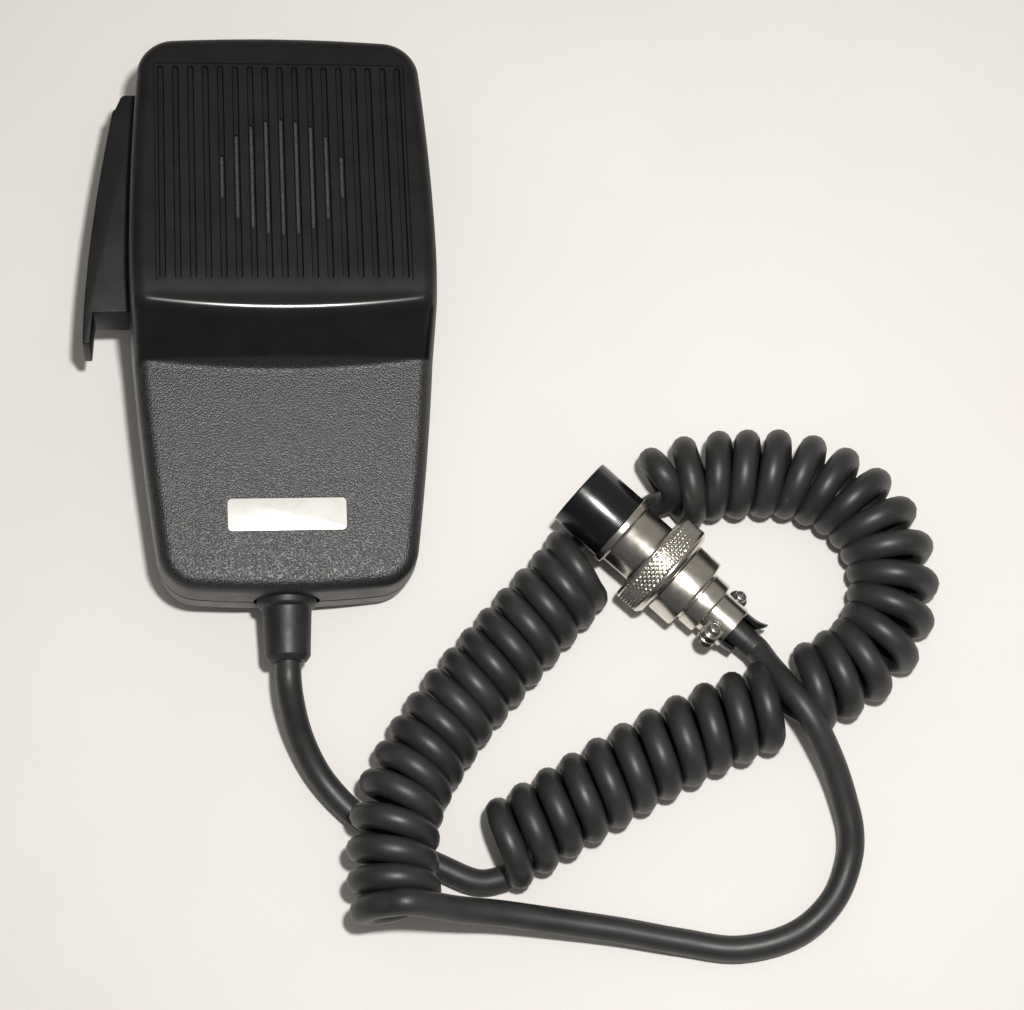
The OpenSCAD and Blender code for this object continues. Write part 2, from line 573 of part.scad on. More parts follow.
// The stretch of one turn that is spread flat under the barrel
crossing_route = [[74.4, -32.4, 3.6], [70.4, -35.8, 2.42], [57, -47.2, 2.42], [54.4, -49.6, 3.6]];
// Tail from the last turn, along the table and between two turns of the coil to the plug
tail_route = concat([
    [20, -109, 17], [27, -109, 15], [37.4, -110.8, 10.4], [48, -112.6, 7], [58.8, -114.6, 4.8],
    [69.6, -117, 3.2], [80.2, -118.8, 2.4], [91, -116.4, 2.8], [97.8, -110.6, 3.6], [101, -103.4, 4.6],
    [101.4, -98.7, 6], [100.5, -93.4, 7.6], [99.1, -88.4, 9], [97.3, -83.9, 10], [95.3, -79.6, 10.8],
    [93.4, -76.4, 10.8], [91.2, -73.1, 10.2], [88.2, -68, 8.8]],
    [plug_back - 2.5 * plug_dir, plug_back]);

module cord_lead() color(black_rubber) on_table() sweep(lead_route, cord_d / 2, 8);
module cord_coil() color(black_rubber) on_table() sweep(coil_route, coil_od / 2, 12);
module cord_crossing() color(black_rubber) on_table() sweep(crossing_route, cord_d / 2, 8);
module cord_coil_rear() color(black_rubber) on_table() sweep(coil_rear_route, coil_od / 2, 12);
module cord_tail() color(black_rubber) on_table() sweep(tail_route, cord_d / 2, 8);

front_shell();
rear_shell();
label_plate();
case_screws();
grille_cloth();
capsule_gasket();
capsule_cover();
capsule_diaphragm();
voice_coil();
capsule_magnet();
capsule_housing();
capsule_terminals();
ptt_lever();
lever_pivot_pin();
lever_spring();
switch_body();
switch_plunger();
switch_terminals();
switch_screws();
hang_button();
hang_button_screw();
cord_boot();
cord_case_end();
cord_tie();
wire_red();
wire_white();
wire_black();
plug_insert();
plug_contacts();
plug_sleeve();
slip_washer();
coupling_ring();
plug_rear_shell();
clamp_saddle();
clamp_strap();
clamp_screws();
cord_plug_end();
cord_sleeve();
cord_lead();
cord_coil();
cord_crossing();
cord_coil_rear();
cord_tail();
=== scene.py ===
"""Looks of the hand microphone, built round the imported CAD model.

The case pieces are modelled in the case's own frame and laid down with LIE, the
plug pieces in the plug's frame and placed with PLUG. Both frames repeat the
values of part.scad. Lengths are written in millimetres and turned into metres
by MM where a mesh is made.
"""

import math
import random

import bmesh
import bpy
from mathutils import Matrix, Vector


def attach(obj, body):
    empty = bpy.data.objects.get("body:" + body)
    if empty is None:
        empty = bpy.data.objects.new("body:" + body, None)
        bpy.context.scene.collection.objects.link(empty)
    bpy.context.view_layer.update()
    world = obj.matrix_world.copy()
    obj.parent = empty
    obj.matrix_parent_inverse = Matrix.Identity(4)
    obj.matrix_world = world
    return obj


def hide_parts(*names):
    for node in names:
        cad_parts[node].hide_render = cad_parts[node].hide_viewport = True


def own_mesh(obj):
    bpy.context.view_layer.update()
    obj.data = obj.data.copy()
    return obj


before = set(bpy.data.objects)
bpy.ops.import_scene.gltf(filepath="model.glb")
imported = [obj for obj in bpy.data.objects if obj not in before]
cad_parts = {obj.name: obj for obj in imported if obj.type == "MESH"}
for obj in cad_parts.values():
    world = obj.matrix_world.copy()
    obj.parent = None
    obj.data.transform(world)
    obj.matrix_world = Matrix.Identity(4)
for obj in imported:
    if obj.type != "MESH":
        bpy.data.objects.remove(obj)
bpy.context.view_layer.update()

MM = 0.001
CASE_BODY = "microphone"
POINTS_A_TURN = 24       # along a wound spring or cord
ON_AXIS = 0.0001         # radius where a turned profile ends on its axis

# ---- frames ----
ROLL = math.radians(10)
ORIGIN = Vector((1.80601, 5.4, 0))
LIFT = 4.66495
LIE = Matrix.Translation((ORIGIN + Vector((0, 0, LIFT))) * MM) @ Matrix.Rotation(ROLL, 4, "Y")

PLUG_FRONT = Vector((55.7, -35, 13.85))
PLUG_YAW = math.radians(135.7)
PLUG_PITCH = math.radians(8)
PLUG = (Matrix.Translation((ORIGIN + PLUG_FRONT) * MM) @ Matrix.Rotation(PLUG_YAW, 4, "Z")
        @ Matrix.Rotation(math.pi / 2 - PLUG_PITCH, 4, "Y"))


# ---- camera ----
def make_camera():
    data = bpy.data.cameras.new("camera")
    data.lens = 80.86
    data.sensor_width = 36
    camera = bpy.data.objects.new("camera", data)
    camera.location = (0.05592, -0.13111, 0.42586)
    camera.rotation_euler = [math.radians(a) for a in (13.49, 2.16, -2.74)]
    bpy.context.scene.collection.objects.link(camera)
    bpy.context.scene.camera = camera


# ---- mesh helpers ----
def mesh_piece(name, points, faces, matrix, sharp_deg=32):
    """A mesh object from points in millimetres, with smooth faces and sharp edges by angle."""
    mesh = bpy.data.meshes.new(name)
    mesh.from_pydata([Vector(p) * MM for p in points], [], faces)
    made = bmesh.new()
    made.from_mesh(mesh)
    bmesh.ops.remove_doubles(made, verts=made.verts, dist=1e-7)
    bmesh.ops.recalc_face_normals(made, faces=made.faces)
    made.to_mesh(mesh)
    made.free()
    piece = bpy.data.objects.new(name, mesh)
    bpy.context.scene.collection.objects.link(piece)
    piece.matrix_world = matrix
    soften(piece, sharp_deg)
    return piece


def soften(piece, sharp_deg=32):
    piece.data.polygons.foreach_set("use_smooth", [True] * len(piece.data.polygons))
    piece.data.set_sharp_from_angle(angle=math.radians(sharp_deg))


def apply_modifiers(piece):
    graph = bpy.context.evaluated_depsgraph_get()
    mesh = bpy.data.meshes.new_from_object(piece.evaluated_get(graph))
    piece.modifiers.clear()
    piece.data = mesh


def combine(piece, other, operation="DIFFERENCE"):
    """Cuts other out of piece, or joins it on, and deletes other."""
    step = piece.modifiers.new("combine", "BOOLEAN")
    step.operation = operation
    step.object = other
    step.solver = "EXACT"
    apply_modifiers(piece)
    bpy.data.objects.remove(other)
    soften(piece)


def bevel(piece, width, segments=3, angle_deg=40):
    step = piece.modifiers.new("bevel", "BEVEL")
    step.width = width * MM
    step.segments = segments
    step.limit_method = "ANGLE"
    step.angle_limit = math.radians(angle_deg)
    step.harden_normals = False
    apply_modifiers(piece)
    soften(piece)


def rounded(outline, closed=False, steps=5):
    """A 2-D outline whose corners (u, v, radius) become arcs."""
    made = []
    count = len(outline)
    for k, corner in enumerate(outline):
        here = Vector(corner[:2])
        radius = corner[2] if len(corner) > 2 else 0
        if radius == 0 or (not closed and k in (0, count - 1)):
            made.append(here)
            continue
        back = (Vector(outline[k - 1][:2]) - here).normalized()
        ahead = (Vector(outline[(k + 1) % count][:2]) - here).normalized()
        half = back.angle(ahead) / 2
        reach = radius / math.tan(half)
        centre = here + (back + ahead).normalized() * (radius / math.sin(half))
        first, last = here + back * reach - centre, here + ahead * reach - centre
        sweep = first.angle_signed(last)
        for i in range(steps + 1):
            turn = Matrix.Rotation(-sweep * i / steps, 2)
            made.append(centre + turn @ first)
    return [(p.x, p.y) for p in made]


def polar(radius, angle):
    return radius * math.cos(angle), radius * math.sin(angle)


def quads(low, high):
    """Faces between two closed rings of point numbers."""
    n = len(low)
    return [(low[k], low[(k + 1) % n], high[(k + 1) % n], high[k]) for k in range(n)]


def tube_faces(rings, n):
    """Faces along a row of rings of n points each, without the ends."""
    return [face for j in range(rings - 1)
            for face in quads(range(j * n, (j + 1) * n), range((j + 1) * n, (j + 2) * n))]


def lathe(name, profile, matrix, segments=96, shape=None, sharp_deg=32):
    """A closed profile of (radius, z) turned round Z. shape(angle, radius, z) may change the radius."""
    angles = [2 * math.pi * k / segments for k in range(segments)]
    points = [(*polar(shape(a, r, z) if shape else r, a), z) for r, z in profile for a in angles]
    faces = tube_faces(len(profile), segments)
    faces += quads(range((len(profile) - 1) * segments, len(profile) * segments), range(segments))
    return mesh_piece(name, points, faces, matrix, sharp_deg)


def stack(outlines):
    """Points and faces of a closed loft through outlines of (points, z), all of one length."""
    points = [(u, v, z) for outline, z in outlines for u, v in outline]
    n = len(outlines[0][0])
    faces = tube_faces(len(outlines), n)
    faces += [tuple(range(n - 1, -1, -1)), tuple(range((len(outlines) - 1) * n, len(outlines) * n))]
    return points, faces


def joined(parts):
    """One list of points and one of faces from several (points, faces)."""
    points, faces = [], []
    for part_points, part_faces in parts:
        base = len(points)
        points += part_points
        faces += [tuple(base + v for v in face) for face in part_faces]
    return points, faces


def moved(part, matrix):
    points, faces = part
    return [matrix @ Vector(p) for p in points], faces


def turn(axis, degrees):
    return Matrix.Rotation(math.radians(degrees), 4, axis)


def shift(x, y, z):
    return Matrix.Translation((x, y, z))


def box_part(low, high):
    outline = [(low[0], low[1]), (high[0], low[1]), (high[0], high[1]), (low[0], high[1])]
    return stack([(outline, low[2]), (outline, high[2])])


def circle(radius, count=48, centre=(0, 0)):
    rim = [polar(radius, 2 * math.pi * k / count) for k in range(count)]
    return [(centre[0] + u, centre[1] + v) for u, v in rim]


def disc_stack(levels, count=48, centre=(0, 0)):
    """A turned part as a loft: levels are (radius, z)."""
    return stack([(circle(r, count, centre), z) for r, z in levels])


def stadium(half_w, low, high, count=8):
    """A slot outline along Y with round ends."""
    made = []
    for centre, start in ((high - half_w, 0), (low + half_w, 180)):
        for k in range(count + 1):
            a = math.radians(start + 180 * k / count)
            made.append((half_w * math.cos(a), centre + half_w * math.sin(a)))
    return made


# ---- case outline, as in part.scad ----
CASE_W, CREST_H, FOOT_H, PARTING_H, WALL = 57.2, 28.6, 19.2, 8.5, 1.8
Y_LOW, Y_TOP, Y_WIDE = -51.2, 52.2, 8
LOW_TAPER, LOW_POWER, TOP_TAPER, TOP_POWER, CORNER_R = 5.6, 1.6, 2.4, 1.8, 7
BOW_REF, BOW_LOW, BOW_TOP = 24.5, 1.6, 1
CREST_Y, FOOT_Y, GRILLE_SLOPE, LOW_SLOPE = -1.5, -10, 0.077, 0.0364
CREST_SOFT, FOOT_SOFT = 1.6, 0.6
EDGE_TOP_R, EDGE_LOW_R, BACK_EDGE_R = 2.8, 3, 1.5
FRONT_DRAFT, BACK_DRAFT = math.radians(2.2), math.radians(3)
CORNER_STEPS, ACROSS, LEVELS = 12, 44, 12
LOW_ROWS, STEP_ROWS, TOP_ROWS = 28, 44, 36
STEP_FROM, STEP_TO = FOOT_Y - 1.5, CREST_Y + 3.3     # the stretch with the closest rows
PARTING_CHAMFER, LEAST_EDGE_R = 0.35, 0.5


def half_w(y):
    if y > Y_WIDE:
        return CASE_W / 2 - TOP_TAPER * ((y - Y_WIDE) / (Y_TOP - Y_WIDE)) ** TOP_POWER
    return CASE_W / 2 - LOW_TAPER * ((Y_WIDE - y) / (Y_WIDE - Y_LOW)) ** LOW_POWER


def side_dir(y):
    return math.atan(half_w(y - 0.5) - half_w(y + 0.5))


def soft_min(a, b, k):
    return min(a, b) - max(k - abs(a - b), 0) ** 2 / (4 * k)


def upper_h(y):
    return CREST_H - GRILLE_SLOPE * (y - CREST_Y)


def lower_h(y):
    return FOOT_H + LOW_SLOPE * (y - FOOT_Y)


def face_h(y):
    band = CREST_H + (CREST_H - FOOT_H) / (CREST_Y - FOOT_Y) * (y - CREST_Y)
    return -soft_min(-soft_min(upper_h(y), band, CREST_SOFT), -lower_h(y), FOOT_SOFT)


def edge_r(y):
    share = min(max((y - FOOT_Y) / (CREST_Y - FOOT_Y), 0), 1)
    return EDGE_LOW_R + (EDGE_TOP_R - EDGE_LOW_R) * share


def bowed(p):
    x, y, z = p
    bow = -BOW_LOW if y < 0 else -BOW_LOW + (BOW_LOW + BOW_TOP) * (y / Y_TOP) ** 2
    return x, y + bow * (1 - (x / BOW_REF) ** 2), z


def case_stations():
    """[half width, y, normal direction] from the cord end to the grille end."""
    low_tan = Y_LOW + CORNER_R * (1 + math.sin(side_dir(Y_LOW + CORNER_R)))
    top_tan = Y_TOP - CORNER_R * (1 - math.sin(side_dir(Y_TOP - CORNER_R)))

    def corner(y, angle):
        d = side_dir(y)
        return (half_w(y) - CORNER_R * math.cos(d) + CORNER_R * math.cos(angle),
                y - CORNER_R * math.sin(d) + CORNER_R * math.sin(angle), angle)

    low_start, top_start = -math.pi / 2, side_dir(top_tan)
    made = [corner(low_tan, low_start + (side_dir(low_tan) - low_start) * k / CORNER_STEPS)
            for k in range(CORNER_STEPS)]
    stretches = [(low_tan, STEP_FROM, LOW_ROWS), (STEP_FROM, STEP_TO, STEP_ROWS),
                 (STEP_TO, top_tan, TOP_ROWS)]
    ys = [start + (end - start) * k / rows for start, end, rows in stretches for k in range(rows)]
    made += [(half_w(y), y, side_dir(y)) for y in [*ys, top_tan]]
    made += [corner(top_tan, top_start + (math.pi / 2 - top_start) * k / CORNER_STEPS)
             for k in range(1, CORNER_STEPS + 1)]
    return made


STATIONS = case_stations()


def edge_point(station, depth, level, back):
    """A point on a station's edge: level -1 and 0 on the parting line, 1 to LEVELS up the edge radius."""
    w, y, direction = station
    height = (PARTING_H if back else face_h(y) - PARTING_H) - depth
    radius = max((BACK_EDGE_R if back else edge_r(y)) - depth, LEAST_EDGE_R)
    if level < 1:
        chamfer = 0 if depth else PARTING_CHAMFER
        inset, z = (depth + chamfer, 0) if level < 0 else (depth, chamfer)
    else:
        a = math.pi / 2 * (level - 1) / (LEVELS - 1)
        lean = (height - radius) * math.tan(BACK_DRAFT if back else FRONT_DRAFT)
        inset = depth + lean + radius * (1 - math.cos(a))
        z = height - radius + radius * math.sin(a)
    x = w - inset * math.cos(direction)
    y -= inset * math.sin(direction)
    return x, y, PARTING_H + (-z if back else z)


def skin(points, faces, depth, back):
    """Adds one skin of a shell and returns the indices of its parting ring."""
    rows = len(STATIONS)
    rings = []
    for level in range(-1, LEVELS + 1):
        side = [edge_point(s, depth, level, back) for s in STATIONS]
        across = [[(p[0] * (2 * i / ACROSS - 1), p[1], p[2]) for i in range(1, ACROSS)]
                  for p in (side[-1], side[0])]
        loop = [(-p[0], p[1], p[2]) for p in side] + across[0] + side[::-1] + across[1][::-1]
        rings.append(list(range(len(points), len(points) + len(loop))))
        points += [bowed(p) for p in loop]
    for low, high in zip(rings, rings[1:]):
        faces += quads(low, high)
    ring = rings[-1]
    grid = []
    for j in range(rows):
        left, right = ring[j], ring[2 * rows + ACROSS - 2 - j]
        if j in (0, rows - 1):
            middle = ring[rows:rows + ACROSS - 1] if j else ring[1 - ACROSS:][::-1]
        else:
            p = edge_point(STATIONS[j], depth, LEVELS, back)
            middle = list(range(len(points), len(points) + ACROSS - 1))
            points += [bowed((p[0] * (2 * i / ACROSS - 1), p[1], p[2])) for i in range(1, ACROSS)]
        grid.append([left, *middle, right])
    for a, b in zip(grid, grid[1:]):
        faces += [(a[i], b[i], b[i + 1], a[i + 1]) for i in range(ACROSS)]
    return rings[0]


def shell(name, back):
    """A half of the case with its wall, before any opening is cut."""
    points, faces = [], []
    outer = skin(points, faces, 0, back)
    inner = skin(points, faces, WALL, back)
    n = len(outer)
    faces += [(outer[k], inner[k], inner[(k + 1) % n], outer[(k + 1) % n]) for k in range(n)]
    return mesh_piece(name, points, faces, LIE)


# ---- openings in the case ----
GROOVES, GROOVE_PITCH, CAPSULE_Y = 17, 2.75, 24
GROOVE_LOW, GROOVE_HIGH, GROOVE_DEPTH = 3, 46.2, 1.2
PANEL_W, PANEL_L, PANEL_DEPTH = GROOVES * GROOVE_PITCH - 0.6, GROOVE_HIGH - GROOVE_LOW + 0.7, 0.28
OPEN_R, OPEN_HALF_W, OPEN_EACH_SIDE = 11.8, 0.28, 4
WINDOW_LOW, WINDOW_HIGH = (-34, -0.6, 3.6), (-23, 45.2, 15.4)      # for the lever
BOOT_X, BOOT_Z, BOOT_HOLE_R = -0.4, 8.8, 6.1
SCREW_PLACES = [(-14, 45.5), (14, 45.5), (-15.5, -44.5), (15.5, -44.5)]
POST_R, WELL_R, WELL_DEPTH, SCREW_HOLE_R = 3.6, 2.8, 3.2, 1.5
LABEL_W, LABEL_L, LABEL_Y, LABEL_X, LABEL_SUNK = 21.5, 6, -38.5, -0.3, 0.4
GRILLE = (shift(0, CREST_Y, CREST_H) @ Matrix.Rotation(-math.atan(GRILLE_SLOPE), 4, "X")
          @ shift(0, -CREST_Y, 0))
LABEL = (shift(LABEL_X, LABEL_Y, lower_h(LABEL_Y + BOW_LOW))
         @ Matrix.Rotation(math.atan(LOW_SLOPE), 4, "X"))


def round_rect(w, l, r, steps=6):
    corners = [(w / 2, l / 2, r), (-w / 2, l / 2, r), (-w / 2, -l / 2, r), (w / 2, -l / 2, r)]
    return rounded(corners, closed=True, steps=steps)


def cutter(parts, matrix=Matrix.Identity(4)):
    return mesh_piece("cutter", *moved(joined(parts), matrix), LIE)


def groove_cutters():
    """The sunk panel of the grille, then one flared slot for each groove."""
    middle_y = (GROOVE_LOW + GROOVE_HIGH) / 2
    panel = [(u, v + middle_y) for u, v in round_rect(PANEL_W, PANEL_L, 0.6)]
    wide = [(u * 1.01, middle_y + (v - middle_y) * 1.006) for u, v in panel]
    yield cutter([stack([(panel, -PANEL_DEPTH), (wide, 0.02), (wide, 3)])], GRILLE)
    slots = []
    flare = [(-GROOVE_DEPTH, 0.4), (-GROOVE_DEPTH + 0.12, 0.5), (-PANEL_DEPTH - 0.1, 0.56),
             (-PANEL_DEPTH - 0.03, 0.6), (-PANEL_DEPTH + 0.03, 0.68), (3, 0.68)]
    for i in range(GROOVES):
        x = (i - (GROOVES - 1) / 2) * GROOVE_PITCH
        levels = [([(u + x, v) for u, v in stadium(w, GROOVE_LOW, GROOVE_HIGH)], z) for z, w in flare]
        slots.append(stack(levels))
    yield cutter(slots, GRILLE)
    yield cutter(slots_through(), GRILLE)


def slots_through():
    """The stretches of the middle grooves that are open to the capsule."""
    made = []
    for i in range(-OPEN_EACH_SIDE, OPEN_EACH_SIDE + 1):
        x = i * GROOVE_PITCH
        reach = math.sqrt(OPEN_R ** 2 - x ** 2)
        outline = [(u + x, v) for u, v in stadium(OPEN_HALF_W, CAPSULE_Y - reach, CAPSULE_Y + reach)]
        made.append(stack([(outline, -5), (outline, -GROOVE_DEPTH + 0.3)]))
    return made


def finish_half(piece, node):
    """Cuts the openings that both halves of the case share: the lever's window and the boot's hole."""
    combine(piece, cutter([box_part(WINDOW_LOW, WINDOW_HIGH)]))
    hole = disc_stack([(BOOT_HOLE_R, 46), (BOOT_HOLE_R, 58)])
    combine(piece, cutter([hole], shift(BOOT_X, 0, BOOT_Z) @ turn("X", 90)))
    finish_piece(piece, "case_plastic", node, slot="case_black")


def front_case():
    piece = shell("front_case", False)
    for tool in groove_cutters():
        combine(piece, tool)
    pocket = round_rect(LABEL_W + 0.3, LABEL_L + 0.3, 0.9)
    combine(piece, cutter([stack([(pocket, -LABEL_SUNK), (pocket, 2)])], LABEL))
    finish_half(piece, "front_shell")


def rear_case():
    piece = shell("rear_case", True)
    posts = [disc_stack([(POST_R, 0.9), (POST_R, PARTING_H - 0.1)], 32, p) for p in SCREW_PLACES]
    combine(piece, cutter(posts), "UNION")
    well = [(WELL_R + 0.5, -1), (WELL_R, 0.25), (WELL_R, WELL_DEPTH), (SCREW_HOLE_R, WELL_DEPTH),
            (SCREW_HOLE_R, 12)]
    wells = [disc_stack(well, 40, p) for p in SCREW_PLACES]
    combine(piece, cutter(wells))
    finish_half(piece, "rear_shell")


# ---- finish of a piece ----
LOOKS = {}


def finish_piece(piece, look, *nodes, slot=None, body=CASE_BODY):
    """Gives a piece its material and its body, and hides the CAD nodes that it stands for."""
    piece.data.materials.clear()
    piece.data.materials.append(LOOKS[look])
    if nodes:
        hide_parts(*nodes)
    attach(piece, body)


# ---- small case pieces ----
def label_piece():
    levels = [(round_rect(LABEL_W - grow, LABEL_L - grow, 0.8), z) for grow, z in
              ((0, -LABEL_SUNK), (0, 0.06), (0.06, 0.12), (0.2, 0.15))]
    piece = mesh_piece("label_blank", *moved(stack(levels), LABEL), LIE)
    finish_piece(piece, "label_metal", "label_plate", slot="label_silver")


FELT_R, FELT_PILE, FELT_BACK = 13.4, 0.06, -0.55


def felt_disc():
    """The grille cloth, with a slightly uneven pile."""
    draw = random.Random(4)
    rings, count = 26, 72
    points = [(0, 0, 0)]
    for j in range(1, rings + 1):
        for k in range(count):
            a = 2 * math.pi * k / count
            points.append((*polar(FELT_R * j / rings, a), -0.08 - FELT_PILE * draw.random()))
    faces = [(0, 1 + k, 1 + (k + 1) % count) for k in range(count)]
    for j in range(rings - 1):
        low, high = 1 + j * count, 1 + (j + 1) * count
        faces += [(low + k, high + k, high + (k + 1) % count, low + (k + 1) % count)
                  for k in range(count)]
    base = len(points)
    points += [(p[0], p[1], FELT_BACK) for p in points[-count:]]
    rim = 1 + (rings - 1) * count
    faces += [(rim + k, base + k, base + (k + 1) % count, rim + (k + 1) % count) for k in range(count)]
    faces.append(tuple(base + k for k in range(count)))
    place = (shift(0, CAPSULE_Y, upper_h(CAPSULE_Y + BOW_LOW) - WALL)
             @ Matrix.Rotation(-math.atan(GRILLE_SLOPE), 4, "X"))
    piece = mesh_piece("grille_felt", *moved((points, faces), place), LIE)
    finish_piece(piece, "felt", "grille_cloth", slot="grille_cloth")


LEVER_Z, LEVER_H, LEVER_T, LEVER_WALL = 4, 11, 1.7, 1.4
LEVER_TIP_X, LEVER_SWEEP, LEVER_SWEEP_L, LEVER_POWER, LEVER_INNER_X = -36.8, 6.6, 50, 1.6, -25.4
LEVER_TIP_Y, LEVER_END_Y, LEVER_BEND_Y, LEVER_TOP_Y, LEVER_HOLLOW_L = -5, 1.1, 41, 44.2, 36.5
PIVOT = (-22.8, 42)
SPRING_Y, SPRING_END_X, SPRING_R, SPRING_WIRE_R, SPRING_TURNS = 24, -22, 2.4, 0.3, 7


def lever_x(y):
    return LEVER_TIP_X + LEVER_SWEEP * ((y - LEVER_TIP_Y) / LEVER_SWEEP_L) ** LEVER_POWER


def lever():
    """The press-to-talk lever: a hollow moulding with a thin tail below its end wall."""
    outer_l = LEVER_BEND_Y - LEVER_TIP_Y
    outer = [(lever_x(y), y) for y in [LEVER_TIP_Y + outer_l * k / 40 for k in range(41)]]
    outline = outer + [(lever_x(LEVER_BEND_Y) + 0.5, 41.4), (-29.5, 43.8), (-28.8, LEVER_TOP_Y),
                       (LEVER_INNER_X, LEVER_TOP_Y), (LEVER_INNER_X, LEVER_END_Y),
                       (lever_x(LEVER_END_Y) + LEVER_T, LEVER_END_Y),
                       (lever_x(LEVER_TIP_Y) + LEVER_T - 0.3, LEVER_TIP_Y)]
    top = LEVER_Z + LEVER_H
    piece = mesh_piece("talk_lever", *stack([(outline, LEVER_Z), (outline, top)]), LIE)
    low = LEVER_END_Y + LEVER_WALL
    hollow = [(lever_x(y) + LEVER_T, y) for y in [low + LEVER_HOLLOW_L * k / 24 for k in range(25)]]
    hollow += [(-20, low + LEVER_HOLLOW_L), (-20, low)]
    pocket = stack([(hollow, LEVER_Z + LEVER_WALL), (hollow, top - LEVER_WALL)])
    combine(piece, cutter([pocket]))
    bevel(piece, 0.28, 3, 35)
    rib_x = lever_x(14) + 1
    knuckle = disc_stack([(2.5, LEVER_Z), (2.5, top)], 40, PIVOT)
    rib = box_part((rib_x, 12.5, LEVER_Z + 4), (-27, 15.5, LEVER_Z + 7))
    web = box_part((-27, PIVOT[1] - 2, LEVER_Z), (PIVOT[0], PIVOT[1] + 2, top))
    for part in (rib, web, knuckle):
        combine(piece, cutter([part]), "UNION")
    combine(piece, cutter([disc_stack([(1.15, 0), (1.15, 20)], 40, PIVOT)]))
    finish_piece(piece, "lever_plastic", "ptt_lever", slot="lever_black", body="lever")


def lever_spring():
    """The lever's return spring: a wire helix."""
    start = lever_x(SPRING_Y) + LEVER_T + 0.45 + SPRING_WIRE_R
    middle_z, steps = LEVER_Z + LEVER_H / 2, SPRING_TURNS * POINTS_A_TURN
    path = []
    for k in range(steps + 1):
        u, v = polar(SPRING_R, 2 * math.pi * k / POINTS_A_TURN)
        path.append(Vector((start + (SPRING_END_X - start) * k / steps, SPRING_Y + u, middle_z + v)))
    piece = mesh_piece("return_spring", *tube_part(path, SPRING_WIRE_R, 10), LIE)
    finish_piece(piece, "steel", "lever_spring")
    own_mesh(piece)


def tube_part(path, radius, sides):
    """A round closed tube along a list of vectors."""
    points, side = [], None
    for k, here in enumerate(path):
        along = (path[min(k + 1, len(path) - 1)] - path[max(k - 1, 0)]).normalized()
        level = along.orthogonal() if side is None else side - along * side.dot(along)
        side = level.normalized()
        up = along.cross(side)
        for i in range(sides):
            a = 2 * math.pi * i / sides
            points.append(here + side * radius * math.cos(a) + up * radius * math.sin(a))
    faces = tube_faces(len(path), sides)
    faces += [tuple(range(sides)), tuple(range((len(path) - 1) * sides, len(path) * sides))]
    return points, faces


def boot():
    """The strain relief: flange in the case, round collar, then a tapered sleeve."""
    bore = 2.46
    profile = rounded([(bore, 48.2), (6.8, 48.2, 0.3), (6.8, 49.8, 0.3), (5.5, 49.8, 0.2),
                       (5.5, 53.8, 0.8), (4.6, 54.1, 0.2), (4.5, 55, 0.3), (4.15, 62.9, 0.55),
                       (3.4, 64, 0.4), (bore, 63.9)])
    matrix = LIE @ Matrix.Translation(Vector((BOOT_X, 0, BOOT_Z)) * MM) @ turn("X", 90)
    piece = lathe("cord_grip", profile, matrix)
    finish_piece(piece, "rubber", "cord_boot", slot="black_rubber")


CASE_SCREW, CLAMP_SCREW = (2.6, 1.8, 1.4), (1.25, 1.2, 0.8)     # head radius and height, shank radius


def screw_part(size, length):
    """A pan-head screw, head down at z = 0 and shank up."""
    head_r, head_h, shank_r = size
    profile = rounded([(ON_AXIS, 0), (head_r - 0.2, 0, head_r * 0.35), (head_r, head_h, 0.15),
                       (shank_r, head_h, 0.1), (shank_r, length - 1, 0.2), (0.3, length), (ON_AXIS, length)])
    return disc_stack(profile, 40)


def screws(name, size, length, places, matrix, node):
    """One piece from several equal cross-head screws; places are matrices in the given frame."""
    piece = mesh_piece(name, *joined([moved(screw_part(size, length), p) for p in places]), matrix)
    reach, depth = size[0] * 0.62, size[1] * 0.62
    low = [(-reach, -0.32), (reach, -0.32), (reach, 0.32), (-reach, 0.32)]
    deep = [(u * 0.5, v * 0.7) for u, v in low]
    for angle in (20, 110):
        blades = [moved(stack([(low, -1), (low, 0), (deep, depth)]), place @ turn("Z", angle))
                  for place in places]
        combine(piece, mesh_piece("cutter", *joined(blades), matrix))
    finish_piece(piece, "steel", node, slot="screw_steel")


KNOB_Y, KNOB_R, KNOB_NECK_R, KNOB_FACE_R, KNOB_BORE = 4, 5.5, 3.6, 5.1, 1.5


def hang_knob():
    """The hang-up button on the back, with its screw head sunk in it."""
    out = (LIFT - KNOB_FACE_R * math.sin(ROLL)) / math.cos(ROLL)
    profile = rounded([(KNOB_BORE, 0), (KNOB_NECK_R, 0), (KNOB_NECK_R, out - 2.2, 0.3),
                       (KNOB_R, out - 1.9, 0.25), (KNOB_R, out - 0.4, 0.2), (KNOB_FACE_R, out, 0.25),
                       (2.8, out, 0.15), (2.8, out - 2, 0.1), (KNOB_BORE, out - 2)])
    matrix = LIE @ Matrix.Translation(Vector((0, KNOB_Y, 0)) * MM) @ turn("X", 180)
    piece = lathe("hang_knob", profile, matrix, 72)
    finish_piece(piece, "satin_metal", "hang_button", slot="button_metal")
    screws("hang_knob_screw", CASE_SCREW, 9.2, [shift(0, KNOB_Y, -out + 0.2)], LIE, "hang_button_screw")


